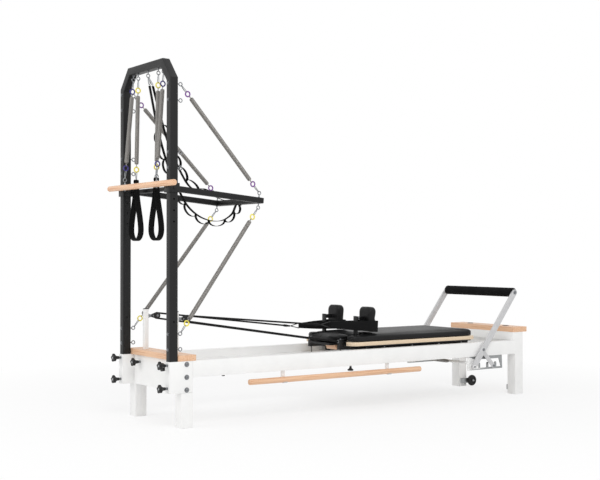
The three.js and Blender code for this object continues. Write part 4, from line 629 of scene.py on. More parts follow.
class Shape:
    """Corners and faces in millimetres of the measured frame, with finishes and UVs."""

    def __init__(self):
        self.points, self.faces, self.finishes, self.uvs, self.names = [], [], [], [], []

    def add(self, points, faces, finish, uvs=None):
        """Adds faces of one finish, whose corners count from the first of the points."""
        if finish not in self.names:
            self.names.append(finish)
        start = len(self.points)
        self.points += [Vector(p) for p in points]
        self.faces += [[start + i for i in face] for face in faces]
        self.finishes += [self.names.index(finish)] * len(faces)
        self.uvs += uvs or [[(0, 0)] * len(face) for face in faces]

    def rings(self, rings, finish, closed=False, caps=True):
        """Joins rings of equal counts in order. UVs run in millimetres along and around."""
        count, rows = len(rings[0]), len(rings)
        lengths, around = [0.0], [0.0]
        for i in range(rows):
            a, b = Vector(rings[i][0]), Vector(rings[(i + 1) % rows][0])
            lengths.append(lengths[-1] + (b - a).length)
        for i in range(count):
            a, b = Vector(rings[rows // 2][i]), Vector(rings[rows // 2][(i + 1) % count])
            around.append(around[-1] + (b - a).length)
        points = [p for ring in rings for p in ring]
        faces, uvs = [], []
        for row in range(rows if closed else rows - 1):
            after = (row + 1) % rows
            for i in range(count):
                j = (i + 1) % count
                here, there = row * count, after * count
                faces.append([here + i, here + j, there + j, there + i])
                u0, u1, v0, v1 = lengths[row], lengths[row + 1], around[i], around[i + 1]
                uvs.append([(u0, v0), (u0, v1), (u1, v1), (u1, v0)])
        if caps and not closed:
            last = (rows - 1) * count
            faces.append(list(reversed(range(count))))
            faces.append([last + i for i in range(count)])
            uvs += [[(0, 0)] * count] * 2
        self.add(points, faces, finish, uvs)

    def lathe(self, origin, axis, profile, finish, facets=32, caps=True):
        """Turns (along, radius) pairs about an axis from an origin."""
        axis = Vector(axis).normalized()
        turn = directions(axis, facets)
        rings = []
        for along, radius in profile:
            centre = Vector(origin) + axis * along
            rings.append([centre + way * max(radius, POINT_RADIUS) for way in turn])
        self.rings(rings, finish, caps=caps)

    def rod(self, start, end, radius, finish, edge=1.0, facets=24):
        """A round bar with eased ends."""
        length = (Vector(end) - Vector(start)).length
        self.lathe(start, Vector(end) - Vector(start), eased(length, radius, edge), finish, facets)

    def sweep(self, path, section, finish, side=None, closed=False):
        """Carries a flat section along a path without twisting it. The section is (across, side)
        pairs; side is the direction that its second number starts along."""
        path = [Vector(p) for p in path]
        rings = []
        last = len(path) - 1
        normal = Vector(side) if side is not None else None
        for i, point in enumerate(path):
            if closed:
                before, after = path[i - 1], path[(i + 1) % len(path)]
            else:
                before, after = path[max(i - 1, 0)], path[min(i + 1, last)]
            tangent = (after - before).normalized()
            if normal is None:
                normal = tangent.orthogonal()
            normal = (normal - tangent * normal.dot(tangent)).normalized()
            across = normal.cross(tangent)
            pairs = section(point) if callable(section) else section
            rings.append([point + across * a + normal * b for a, b in pairs])
        self.rings(rings, finish, closed=closed)

    def tube(self, path, radius, finish, facets=12, closed=False, side=None):
        """A round bar along a path."""
        turn = [2 * math.pi * i / facets for i in range(facets)]
        section = [(radius * math.cos(t), radius * math.sin(t)) for t in turn]
        self.sweep(path, section, finish, side=side, closed=closed)

    def torus(self, centre, normal, radius, wire, finish, around=28, sides=10):
        """A ring of round wire."""
        normal = Vector(normal).normalized()
        path = [Vector(centre) + way * radius for way in directions(normal, around)]
        self.tube(path, wire, finish, sides, closed=True, side=normal)

    def plate(self, outline, axis, low, high, finish):
        """An outline given depth. Its pairs are (y, z) for x, (x, z) for y and (x, y) for z."""
        lift = {
            "x": lambda u, v, w: (w, u, v),
            "y": lambda u, v, w: (u, w, v),
            "z": lambda u, v, w: (u, v, w),
        }[axis]
        self.rings([[lift(u, v, w) for u, v in outline] for w in (low, high)], finish)

    def made(self, name, smooth=SMOOTH_LIMIT):
        """The shape as an object in the row frame, smooth except at edges over the limit."""
        mesh = bpy.data.meshes.new(name)
        mesh.from_pydata([placed(p) for p in self.points], [], self.faces)
        for finish in self.names:
            mesh.materials.append(finish_of(finish))
        mesh.polygons.foreach_set("material_index", self.finishes)
        layer = mesh.uv_layers.new(name="UVMap")
        layer.data.foreach_set("uv", [c for face in self.uvs for corner in face for c in corner])
        work = bmesh.new()
        work.from_mesh(mesh)
        bmesh.ops.recalc_face_normals(work, faces=work.faces)
        shade_by_angle(work, smooth)
        work.to_mesh(mesh)
        work.free()
        made = bpy.data.objects.new(name, mesh)
        bpy.context.scene.collection.objects.link(made)
        return made


def eased(length, radius, edge, steps=4):
    """A bar's profile whose two ends are rounded by a small radius."""
    profile = []
    for i in range(steps + 1):
        t = math.pi / 2 * i / steps
        profile.append((edge * (1 - math.sin(t)), radius - edge * (1 - math.cos(t))))
    return profile[::-1] + [(length - a, r) for a, r in profile]


def rounded_section(wide, tall, radius, steps=4):
    """A rounded rectangle about the origin, as pairs."""
    pairs = []
    for sx, sy, start in ((1, -1, -0.5), (1, 1, 0), (-1, 1, 0.5), (-1, -1, 1)):
        for i in range(steps + 1):
            t = (start + 0.5 * i / steps) * math.pi
            pairs.append(
                (
                    sx * (wide / 2 - radius) + radius * math.cos(t),
                    sy * (tall / 2 - radius) + radius * math.sin(t),
                )
            )
    return pairs


def roomy(edge, reach):
    """Whether both faces beside an edge are wide enough for it to be rounded by the reach."""
    length = max(edge.calc_length(), WELD)
    return length > reach and all(f.calc_area() / length > reach for f in edge.link_faces)


def round_edges(work, edge, limit, steps):
    """Rounds every edge sharper than the limit that has room, in a mesh in metres."""
    # An edge needs a little over twice its rounding in both of its faces
    reach = edge * 2.2 * MM
    sharp = [
        e
        for e in work.edges
        if len(e.link_faces) == 2
        and math.degrees(e.calc_face_angle(0)) > limit
        and roomy(e, reach)
    ]
    bmesh.ops.bevel(
        work,
        geom=sharp,
        offset=edge * MM,
        offset_type="OFFSET",
        segments=steps,
        profile=0.5,
        affect="EDGES",
        clamp_overlap=True,
    )


def shade_by_angle(work, limit):
    """Smooth faces, with the edges sharper than the limit kept sharp."""
    for face in work.faces:
        face.smooth = True
    for edge in work.edges:
        if len(edge.link_faces) == 2:
            edge.smooth = math.degrees(edge.calc_face_angle(0)) <= limit
        else:
            edge.smooth = False


def refined(node, finish, slot, edge, picks=()):
    """A copy of a CAD solid with its flat faces whole and its edges rounded, in its place.
    A pick is a finish and a test of a face's middle, in millimetres of the measured frame."""
    mesh = frame["nodes"][node].data.copy()
    mesh.name = node + "_finished"
    mesh.materials.clear()
    mesh.materials.append(finish_of(finish))
    for other, _ in picks:
        mesh.materials.append(finish_of(other))
    work = bmesh.new()
    work.from_mesh(mesh)
    bmesh.ops.remove_doubles(work, verts=work.verts, dist=WELD)
    bmesh.ops.dissolve_limit(
        work, angle_limit=math.radians(FLAT_WITHIN), verts=work.verts, edges=work.edges
    )
    bmesh.ops.recalc_face_normals(work, faces=work.faces)
    round_edges(work, edge, SMOOTH_LIMIT, look().edges.steps)
    bmesh.ops.triangulate(work, faces=[f for f in work.faces if len(f.verts) > 4])
    for face in work.faces:
        face.material_index = 0
        at = measured(face.calc_center_median())
        for index, (_, test) in enumerate(picks):
            if test(at):
                face.material_index = index + 1
    shade_by_angle(work, SMOOTH_LIMIT)
    work.to_mesh(mesh)
    work.free()
    made = bpy.data.objects.new(node + "_finished", mesh)
    bpy.context.scene.collection.objects.link(made)
    return settled(made, body_of_node(node), slot, node)


def body_of_node(node):
    """The body that a CAD node rides on."""
    return frame["nodes"][node]["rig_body"]


def labelled(piece, nodes):
    """The piece stands for its CAD nodes if it has any, which are hidden."""
    if nodes:
        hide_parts(*nodes)
    return piece


def settled(piece, body, slot, *nodes):
    """The piece rides on its body."""
    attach(piece, body)
    return labelled(piece, nodes)


def bent(piece, first, second, start, end, slot, *nodes):
    """Bakes the piece's place into its mesh and hides the CAD nodes that it stands for. The two
    bodies and the two points are not used.
    """
    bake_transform(piece)
    return labelled(piece, nodes)


def smooth_path(points, steps):
    """Points of a smooth curve through given ones, with even parameter steps."""
    points = [Vector(p) for p in points]
    path = []
    for i in range(len(points) - 1):
        p0, p1 = points[max(i - 1, 0)], points[i]
        p2, p3 = points[i + 1], points[min(i + 2, len(points) - 1)]
        for k in range(steps):
            t = k / steps
            a = 2 * p1
            b = p2 - p0
            c = 2 * p0 - 5 * p1 + 4 * p2 - p3
            d = 3 * p1 - p0 - 3 * p2 + p3
            path.append((a + b * t + c * t * t + d * t * t * t) / 2)
    path.append(points[-1])
    return path


# Small parts that are used more than once

BOLT_WASHER = 2.0
# A snap hook's half width at shares of its length, from its barrel
HOOK_WIDTHS = ((0.0, 0.2), (0.04, 0.45), (0.14, 0.62), (0.3, 0.74), (0.5, 0.86), (0.7, 1.0))
HOOK_WIDTHS += ((0.86, 0.98), (0.95, 0.66), (1.0, 0.16))
HOOK_HALF, HOOK_WIRE = 7.4, 1.8
# Radius of a coil's end as a share of its own, and the straight wire between it and its ring
NECK_SHARE = 0.42
END_LINK = 12.0


def washer(shape, centre, axis, outer, thick):
    """A flat washer with an eased edge."""
    profile = [(0, outer), (thick * 0.6, outer), (thick, outer - thick * 0.4)]
    shape.lathe(centre, axis, profile, "zinc", 28)


def hex_nut(shape, centre, axis, across, thick):
    """A nut, by its width across the flats."""
    radius = across / math.sqrt(3)
    profile = [(0, radius), (thick * 0.8, radius), (thick, radius * 0.9)]
    shape.lathe(centre, axis, profile, "zinc", 6)


def domed_bolt(shape, centre, axis, radius, tall):
    """A washer with a button headed bolt and the dimple of its hexagon socket."""
    washer(shape, centre, axis, radius, BOLT_WASHER)
    axis = Vector(axis).normalized()
    head = radius * 0.58
    profile = [(0, head)]
    for i in range(6):
        t = math.pi / 2 * i / 5
        along = tall * 0.35 + tall * 0.65 * math.sin(t)
        profile.append((along, head * (0.42 + 0.58 * math.cos(t))))
    profile += [(tall * 0.45, head * 0.4), (tall * 0.45, 0)]
    shape.lathe(Vector(centre) + axis * BOLT_WASHER, axis, profile, "zinc", 24)


def eyebolt(shape, face, direction):
    """A forged eye on a threaded shank with a flange nut."""
    direction = Vector(direction).normalized()
    face = Vector(face)
    centre = face + direction * EYE_STANDOFF
    shape.torus(centre, Y_AXIS, EYE_RADIUS, EYE_WIRE, "zinc")
    shank = EYE_STANDOFF - EYE_RADIUS - EYE_WIRE / 2
    shape.lathe(face, direction, [(0, 3), (shank - 2, 3), (shank + 1.5, 3.6)], "zinc", 16)
    washer(shape, face, direction, 8, 1.6)
    hex_nut(shape, face + direction * 1.6, direction, 10, 4)


def snap_hook(shape, start, end, across):
    """A spring gate hook: a pear shaped bow, its thicker gate and the barrel of its swivel."""
    start, end = Vector(start), Vector(end)
    along = (end - start).normalized()
    side = (across - along * across.dot(along)).normalized()
    length = (end - start).length
    bow = [(along * (length * t), side * (HOOK_HALF * w)) for t, w in HOOK_WIDTHS]
    path = [start + a + b for a, b in bow] + [start + a - b for a, b in reversed(bow)]
    path = smooth_path(path + [path[0]], 3)[:-1]
    shape.tube(path, HOOK_WIRE, "zinc", 8, closed=True, side=side.cross(along))
    gate = [start + a + b for a, b in bow[3:7]]
    shape.tube(smooth_path(gate, 3), HOOK_WIRE + 0.7, "zinc", 8, side=side.cross(along))
    shape.rod(start + along * 1.5, start + along * 10, 3.6, "zinc", 0.8, 14)


def coil_path(start, end, radius, pitch, steps, neck):
    """The wire's middle line in a close wound spring whose ends narrow to a short neck."""
    start, end = Vector(start), Vector(end)
    axis = (end - start).normalized()
    side = axis.orthogonal().normalized()
    other = axis.cross(side)
    length = (end - start).length
    turns = max(3, round(length / pitch))
    path = []
    for i in range(turns * steps + 1):
        share = i / (turns * steps)
        along = share * length
        inset = min(along, length - along)
        narrow = min(1.0, inset / neck)
        open_share = NECK_SHARE + (1 - NECK_SHARE) * math.sqrt(narrow * (2 - narrow))
        t = 2 * math.pi * i / steps
        reach = radius * open_share
        path.append(start + axis * along + (side * math.cos(t) + other * math.sin(t)) * reach)
    return path


def coloured_end(shape, at, reach, way, flat, ring):
    """A spring's end: a snap hook, the coloured ring and the small eye of the wire round it."""
    wire = look().springs.wire / MM
    snap_hook(shape, at(reach), at(reach + way * SNAP_LENGTH), Y_AXIS)
    shape.torus(at(reach + way * (SNAP_LENGTH + RING_RADIUS)), flat, RING_RADIUS, RING_WIRE, ring)
    link = at(reach + way * PAST_RING)
    along = at(1) - at(0)
    shape.torus(link, flat.cross(along), wire * 1.5, wire / 2, "spring", 16, 8)
    foot = at(reach + way * (PAST_RING + END_LINK + 2))
    shape.rod(link + (foot - link).normalized() * wire * 1.4, foot, wire * 0.6, "spring", 0.4, 12)


def spring_parts(shape, start, end, ring, half=None):
    """Hook, ring, coil, ring and hook between two eyes, or only the first or second half."""
    size = look().springs
    wire = size.wire / MM
    start, end = Vector(start), Vector(end)
    axis = (end - start).normalized()
    total = (end - start).length
    flat = (Y_AXIS - axis * Y_AXIS.dot(axis)).normalized()

    def at(reach):
        return start + axis * reach

    if half != "second":
        coloured_end(shape, at, HOOK_REST, 1, flat, ring)
    if half != "first":
        coloured_end(shape, at, total - HOOK_REST, -1, flat, ring)
    inset = HOOK_REST + PAST_RING + END_LINK
    radius = (size.outside / MM - wire) / 2
    pitch = wire * COIL_OPEN
    path = coil_path(at(inset), at(total - inset), radius, pitch, size.steps, size.neck / MM)
    if half:
        way = 1 if half == "second" else -1
        middle_point = at(total / 2)
        path = [p for p in path if (p - middle_point).dot(axis) * way >= -pitch / 2]
    shape.tube(path, wire / 2, "spring", WIRE_SIDES)
    return start + axis * total / 2


def mitred(shape, corners, section, finish):
    """A straight sided tube along corners that lie in one plane square to x, mitred at each.
    The section's pairs are (outward in the plane, along x)."""
    corners = [Vector(c) for c in corners]
    last = len(corners) - 1
    rings = []
    for i, corner in enumerate(corners):
        ways = []
        if i > 0:
            ways.append((corner - corners[i - 1]).normalized())
        if i < last:
            ways.append((corners[i + 1] - corner).normalized())
        normals = [way.cross(X_AXIS).normalized() for way in ways]
        mitre = sum(normals, Vector()).normalized()
        mitre /= mitre.dot(normals[0])
        rings.append([corner + mitre * a + X_AXIS * b for a, b in section])
    shape.rings(rings, finish)


def carved(piece, cutter):
    """Takes the cutter out of the piece for good."""
    modifier = piece.modifiers.new("holes", "BOOLEAN")
    modifier.object = cutter
    modifier.solver = "EXACT"
    bake(piece)
    bpy.data.objects.remove(cutter)


def bake(piece):
    """Applies all of a piece's modifiers."""
    depsgraph = bpy.context.evaluated_depsgraph_get()
    depsgraph.update()
    mesh = bpy.data.meshes.new_from_object(piece.evaluated_get(depsgraph))
    piece.modifiers.clear()
    old = piece.data
    piece.data = mesh
    mesh.name = old.name
    bpy.data.meshes.remove(old)


def smoothed(piece, limit):
    """Shades a piece again after its modifiers were applied."""
    work = bmesh.new()
    work.from_mesh(piece.data)
    shade_by_angle(work, limit)
    work.to_mesh(piece.data)
    work.free()


# Frame, sockets and platforms

# Heights and place of the bolts in the sockets' sides
BOLT_ROWS = (337.0, 269.0, 202.0)
SOCKET_BOLT_X = 33.0
BOLT_RADIUS, BOLT_TALL = 14.0, 7.0
GRIP_X, GRIP_Y, GRIP_RADIUS = 2528.0, 168.0, 20.0
STUD_X = 280.0


def build_base():
    """Rails, end frames, tower sockets, platforms and the sockets' bolts."""
    edges = look().edges
    steel, board = edges.steel / MM, edges.board / MM
    rail_side = span("rail_far")[1][1]
    hooks = ("aluminium", lambda at: at.y < -rail_side - 0.4)
    refined("rail_near", "white_frame", "white_frame", steel, picks=[hooks])
    refined("rail_far", "white_frame", "white_frame", steel)
    refined("head_end_frame", "white_frame", "white_frame", steel)
    foot_end = span("rail_far")[0][1] + 50
    brackets = ("cradle", lambda at: at.z < 78 and (at.x > foot_end or abs(at.y) < 231))
    refined("foot_end_frame", "white_frame", "white_frame", steel, picks=[brackets])
    for _, word in SIDES:
        refined("tower_socket_" + word, "white_frame", "white_frame", steel)
    refined("head_platform", "beech_across", "beech", board)
    refined("foot_platform", "beech_across", "beech", board)
    shape = Shape()
    for side, word in SIDES:
        outer = side * span("tower_socket_far")[1][1]
        for z in BOLT_ROWS:
            domed_bolt(shape, (SOCKET_BOLT_X, outer, z), (0, side, 0), BOLT_RADIUS, BOLT_TALL)
    settled(shape.made("socket_bolts"), "frame", "cradle_steel")


def build_platform_grips():
    """Dark discs of rubber on the foot platform and the stud under the near rail."""
    top = span("foot_platform")[2][1]
    shape = Shape()
    for side, _ in SIDES:
        profile = [(0, GRIP_RADIUS), (1.4, GRIP_RADIUS), (2.2, GRIP_RADIUS - 1.2), (2.4, 18)]
        profile += [(1.6, 16), (1.6, 0)]
        shape.lathe((GRIP_X, side * GRIP_Y, top), Z_AXIS, profile, "cap", 40)
    rail = span("rail_far")
    under = (STUD_X, -middle(rail[1]), rail[2][0])
    shape.lathe(under, -Z_AXIS, [(0, 9), (7, 9), (9, 7.4), (9.4, 0)], "cap", 24)
    settled(shape.made("platform_grips"), "frame", "black_plastic")


# Tower

PIN_HOLES = (1269.5, 1210.0, 1150.5, 1091.0, 563.0)
PIN_HOLE_RADIUS = 5.0
TOWER_CORNER = 4.0


def tower_corners():
    """The corners of the tower's middle line, from the near foot to the far one."""
    run, rise = CHAMFER_RUN, CHAMFER_RISE
    slant = math.hypot(run, rise)
    half = POST_DEEP / 2
    # Both chamfer corners are found where lines half a tube inside the outline meet
    shoulder_z = TOWER_TOP - rise + half * (run - slant) / rise
    bend_y = POST_OUTER - run - half * (slant - rise) / run
    outer = POST_MIDDLE_Y
    near = [(-outer, POST_Z[0]), (-outer, shoulder_z), (-bend_y, TOWER_TOP - half)]
    flat = near + [(-y, z) for y, z in reversed(near)]
    return [(POST_MIDDLE_X, y, z) for y, z in flat]


def build_tower():
    """The tower's portal with its pin holes, its eyebolts and the yoke."""
    shape = Shape()
    section = rounded_section(POST_DEEP, POST_WIDE, TOWER_CORNER)
    mitred(shape, tower_corners(), section, "tower_black")
    portal = shape.made("tower_portal")
    cutter = Shape()
    for side, _ in SIDES:
        for z in PIN_HOLES:
            start = (POST_MIDDLE_X, side * (POST_OUTER + 5), z)
            end = (POST_MIDDLE_X, side * (POST_OUTER - POST_DEEP - 5), z)
            cutter.rod(start, end, PIN_HOLE_RADIUS, "tower_black", 0.5, 24)
    carved(portal, cutter.made("pin_hole_cutter"))
    smoothed(portal, 30.0)
    settled(portal, "frame", "black_frame", "tower_frame")
    build_tower_eyes()
    refined("bar_yoke", "tower_black", "black_frame", look().edges.plate / MM * 2)


def build_tower_eyes():
    """Eyebolts down both posts and along the crossbar, with their nuts."""
    shape = Shape()
    for side, _ in SIDES:
        for z in (UPPER_EYE_Z, LOWER_EYE_Z) + SPARE_EYE_Z:
            y = side * POST_MIDDLE_Y
            eyebolt(shape, (POST_FRONT, y, z), X_AXIS)
            washer(shape, (POST_BACK, y, z), -X_AXIS, 9, 1.4)
            hex_nut(shape, (POST_BACK - 1.4, y, z), -X_AXIS, 11, 5)
    for y in (-OUTER_EYE_Y, -INNER_EYE_Y, 0, INNER_EYE_Y, OUTER_EYE_Y):
        eyebolt(shape, (POST_MIDDLE_X, y, TOWER_TOP - POST_DEEP), -Z_AXIS)
        washer(shape, (POST_MIDDLE_X, y, TOWER_TOP), Z_AXIS, 9, 1.4)
        hex_nut(shape, (POST_MIDDLE_X, y, TOWER_TOP + 1.4), Z_AXIS, 11, 4)
    settled(shape.made("tower_eyebolts"), "frame", "spring_steel")


# Push-through bar

BUSH_RADIUS = 20.0


def build_push_bar():
    """A mitred frame of square tube with a bush, nuts and eyebolts on each arm."""
    shape = Shape()
    half = BAR_TUBE / 2
    section = rounded_section(BAR_TALL, BAR_TUBE, 4.0)
    ends = [(0, -BAR_MIDDLE_Y), (BAR_LENGTH - half, -BAR_MIDDLE_Y)]
    ends += [(u, -v) for u, v in reversed(ends)]
    rings = []
    for i, (u, v) in enumerate(ends):
        inward = 1 if v < 0 else -1
        corner = 0 < i < len(ends) - 1
        ring = []
        for up, out in section:
            reach = u + (out if corner else 0)
            ring.append(on_bar(reach, v - inward * out, up))
        rings.append(ring)
    shape.rings(rings, "tower_black")
    for side, _ in SIDES:
        y = side * BAR_MIDDLE_Y
        inner, outer = on_bar(0, y - half, 0), on_bar(0, y + half, 0)
        shape.rod(inner, outer, BUSH_RADIUS, "tower_black", 1.5, 40)
        cap = side * (BAR_MIDDLE_Y + half)
        washer(shape, on_bar(0, cap, 0), (0, side, 0), 11, 2)
        hex_nut(shape, on_bar(0, cap + side * 2, 0), (0, side, 0), 13, 4)
        up = on_bar(BAR_EYE_ALONG, y, BAR_TALL / 2)
        eyebolt(shape, up, on_bar(0, 0, 1) - on_bar(0, 0, 0))
        down = on_bar(BAR_EYE_ALONG, y, -BAR_TALL / 2)
        eyebolt(shape, down, on_bar(0, 0, -1) - on_bar(0, 0, 0))
    settled(shape.made("push_bar_welded"), "push_bar", "black_tube", "push_through_bar")


# Springs

LOOP = span("hand_loop_near")
LOOP_X = middle(LOOP[0])
LOOP_BOTTOM = LOOP[2][0]
LOOP_EYE_Z = LOOP[2][1] - 13.0
CARRIAGE_SPRING_Y = (41.6, 124.8)
HEAVY_WIRE, HEAVY_OUTSIDE = 3.6, 22.0
CARRIAGE_SPRING_START = (1500.0, 305.0)
CARRIAGE_SPRING_END = (2058.7, 228.0)


def build_bar_springs():
    """Springs from the posts to the bar, each made in two halves that meet at its middle."""
    for side, word in SIDES:
        y = side * POST_MIDDLE_Y
        for level, ring, eye_z, way in (
            ("upper", "ring_purple", UPPER_EYE_Z, 1),
            ("lower", "ring_yellow", LOWER_EYE_Z, -1),
        ):
            start = (POST_EYE_X, y, eye_z)
            lift = way * (BAR_TALL / 2 + EYE_STANDOFF)
            end = on_bar(BAR_EYE_ALONG, side * BAR_MIDDLE_Y, lift)
            node = f"{level}_bar_spring_{word}"
            for half, first, second in (
                ("first", "frame", "yoke"),
                ("second", "yoke", "push_bar"),
            ):
                shape = Shape()
                centre = spring_parts(shape, start, end, ring, half=half)
                piece = shape.made(f"{node}_{half}_half", smooth=COIL_SMOOTH)
                bounds = (start, centre) if half == "first" else (centre, end)
                bent(piece, first, second, *bounds, "spring_steel", node)


def build_pull_springs():
    """Springs from the crossbar to the roll-down bar and the hand loops."""
    for side, word in SIDES:
        shape = Shape()
        start = (POST_MIDDLE_X, side * OUTER_EYE_Y, CROSS_EYE_Z)
        eye = ROLL_BAR_Z + DOWEL_RADIUS + EYE_STANDOFF
        end = (ROLL_BAR_X, side * ROLL_EYE_Y, eye)
        spring_parts(shape, start, end, "ring_navy")
        node = "roll_bar_spring_" + word
        coil = shape.made(node + "_coil", smooth=COIL_SMOOTH)
        bent(coil, "frame", "roll_bar", start, end, "spring_steel", node)
        shape = Shape()
        start = (POST_MIDDLE_X, side * INNER_EYE_Y, CROSS_EYE_Z)
        end = (LOOP_X, side * INNER_EYE_Y, LOOP_EYE_Z)
        spring_parts(shape, start, end, "ring_yellow")
        node = "hand_loop_spring_" + word
        coil = shape.made(node + "_coil", smooth=COIL_SMOOTH)
        bent(coil, "frame", "loop_" + word, start, end, "spring_steel", node)


def build_carriage_springs():
    """Four heavy coils between the carriage and the bar at the foot end."""
    shape = Shape()
    wire, radius = HEAVY_WIRE, HEAVY_OUTSIDE / 2 - HEAVY_WIRE / 2
    (x0, z0), (x1, z1) = CARRIAGE_SPRING_START, CARRIAGE_SPRING_END
    for spread in CARRIAGE_SPRING_Y:
        for side, _ in SIDES:
            start, end = Vector((x0 + 14, side * spread, z0)), Vector((x1 - 10, side * spread, z1))
            coil = coil_path(start, end, radius, wire * 1.04, 10, 14)
            shape.tube(coil, wire / 2, "spring", 5)
            shape.torus((x0 + 6, side * spread, z0), Y_AXIS, 7, 1.8, "spring", 20, 8)
            shape.torus(end + Vector((1, 0, 0)), Y_AXIS, 7, 1.8, "spring", 20, 8)
    reach = CARRIAGE_SPRING_Y[1] + 8
    shape.rod((x0 + 9, -reach, z0), (x0 + 9, reach, z0), 4.5, "zinc", 1, 16)
    start, end = (x0, 0, z0), (x1, 0, z1)
    piece = shape.made("carriage_spring_set", smooth=COIL_SMOOTH)
    bent(piece, "carriage", "frame", start, end, "spring_steel", "carriage_springs")


# Roll-down bar, hand loops and the straps of loops

BAND_WIDE, BAND_THICK, BAND_PADDED = 35.0, 3.4, 4.8
STRAP_WIDE, STRAP_THICK = 25.0, 3.0
STRAP_TOP_Z = CROSS_EYE_Z - HOOK_REST - SNAP_LENGTH
SWAG_TOP_X, FRONT_TOP_X = POST_MIDDLE_X + 8, POST_MIDDLE_X + 28
# Places along each strap, as shares of the way out to the bar's end and of the drop to it
SWAG_ROUTE = (
    (0.0783, 0.3183),
    (0.1535, 0.5526),
    (0.236, 0.74),
    (0.3291, 0.8884),
    (0.4187, 1.0134),
    (0.5441, 1.1024),
    (0.6874, 1.1462),
    (0.8308, 1.143),
    (0.9472, 1.0837),
)
FRONT_ROUTE = (
    (0.0807, 0.2046),
    (0.1731, 0.4279),
    (0.2839, 0.618),
    (0.3947, 0.7751),
    (0.5092, 0.8892),
    (0.6533, 0.9388),
    (0.838, 0.9653),
)
# Shares of each strap's length at which its loops are sewn down
SWAG_NODES = (0.225, 0.29, 0.365, 0.44, 0.53, 0.61, 0.692, 0.772, 0.865, 0.932, 0.985)
FRONT_NODES = (0.24, 0.33, 0.43, 0.515, 0.615, 0.74, 0.85)
FRONT_SWING = 170.0
LOOP_DEPTH, LOOP_SAG = 28.0, 7.0
BEZIER_REACH = 0.75
SWAG_CUT, FRONT_CUT = 4, 4


def build_roll_bar():
    """A turned dowel with an eyebolt through it on each side."""
    shape = Shape()
    half = ROLL_BAR[1][1]
    start, end = (ROLL_BAR_X, -half, ROLL_BAR_Z), (ROLL_BAR_X, half, ROLL_BAR_Z)
    shape.rod(start, end, DOWEL_RADIUS, "beech_across", 4.0, 40)
    for side, _ in SIDES:
        face = (ROLL_BAR_X, side * ROLL_EYE_Y, ROLL_BAR_Z + DOWEL_RADIUS)
        eyebolt(shape, face, Z_AXIS)
        under = (ROLL_BAR_X, side * ROLL_EYE_Y, ROLL_BAR_Z - DOWEL_RADIUS + 0.4)
        washer(shape, under, -Z_AXIS, 7, 1.2)
        hex_nut(shape, (under[0], under[1], under[2] - 1.2), -Z_AXIS, 9, 4)
    settled(shape.made("roll_down_dowel"), "roll_bar", "beech", "roll_down_bar")


def bezier(points, steps):
    """A cubic curve through the first and last of four points."""
    a, b, c, d = (Vector(p) for p in points)
    path = []
    for i in range(steps + 1):
        t = i / steps
        k = 1 - t
        path.append(a * k**3 + b * 3 * k * k * t + c * 3 * k * t * t + d * t**3)
    return path


def hand_loop_line(half, top, bottom):
    """One side of a hand loop's middle line in y and z, from its neck to its lowest point."""
    height = top - bottom
    low = bottom + half
    side = [(0, top), (half * 0.1, top - height * 0.3), (half, low + height * 0.2), (half, low)]
    line = bezier([(u, v, 0) for u, v in side], 18)
    for i in range(1, 11):
        t = math.pi / 2 * i / 10
        line.append(Vector((half * math.cos(t), low - half * math.sin(t), 0)))
    return [(p.x, p.y) for p in line]


def build_hand_loops():
    """Padded loops of webbing that hang by an eye."""
    for side, word in SIDES:
        centre = side * INNER_EYE_Y
        shape = Shape()
        neck = LOOP_EYE_Z - 18
        half_wide = LOOP[1][1] - LOOP[1][0]
        line = hand_loop_line(half_wide / 2 - 2.6, neck, LOOP_BOTTOM + 2.6)
        whole = line + [(-y, z) for y, z in reversed(line[:-1])]
        path = [Vector((LOOP_X, centre + y, z)) for y, z in whole]
        webbing_band(shape, path, X_AXIS, BAND_WIDE, BAND_THICK)
        # The lower half is padded where the hand or foot rests
        padded = [p for p in path if p.z < LOOP_BOTTOM + 130]
        webbing_band(shape, padded, X_AXIS, BAND_WIDE - 1.5, BAND_PADDED)
        # The eye is a turn of webbing whose two tails are sewn into the neck
        eye = []
        for i in range(15):
            t = math.radians(-60 + 300 * i / 14)
            y, z = EYE_RADIUS * math.cos(t), EYE_RADIUS * math.sin(t)
            eye.append(Vector((LOOP_X, centre + y, LOOP_EYE_Z + z)))
        tail_y, tail_z = 2.4, neck - 44
        eye = [Vector((LOOP_X, centre + tail_y, tail_z))] + eye
        eye += [Vector((LOOP_X, centre - tail_y, tail_z))]
        webbing_band(shape, smooth_path(eye, 2), X_AXIS, 24.0, 2.6)
        box_stitches(shape, LOOP_X, centre, neck - 26, 20, 30)
        loop = shape.made("hand_loop_sewn_" + word)
        settled(loop, "loop_" + word, "webbing", "hand_loop_" + word)


def webbing_band(shape, path, side, wide, thick):
    """Flat webbing along a path, with its width along the given side."""
    section = [(a, b) for b, a in rounded_section(wide, thick, thick * 0.42, 2)]
    shape.sweep(path, section, "webbing", side=side)


def box_stitches(shape, x, y, z, wide, tall):
    """Rows of thread in a box, sewn through a strap that faces +-y."""
    corners = [(-1, -1), (1, -1), (1, 1), (-1, 1), (-1, -1), (1, 1)]
    for face in (-1, 1):
        for (a0, b0), (a1, b1) in zip(corners, corners[1:]):
            steps = 7
            for i in range(steps):
                t0, t1 = (i + 0.12) / steps, (i + 0.88) / steps
                at = [
                    Vector(
                        (
                            x + wide / 2 * (a0 + (a1 - a0) * t) * 0.86,
                            y + face * 4.3,
                            z + tall / 2 * (b0 + (b1 - b0) * t) * 0.86,
                        )
                    )
                    for t in (t0, (t0 + t1) / 2, t1)
                ]
                shape.tube(at, 0.5, "thread", 5)


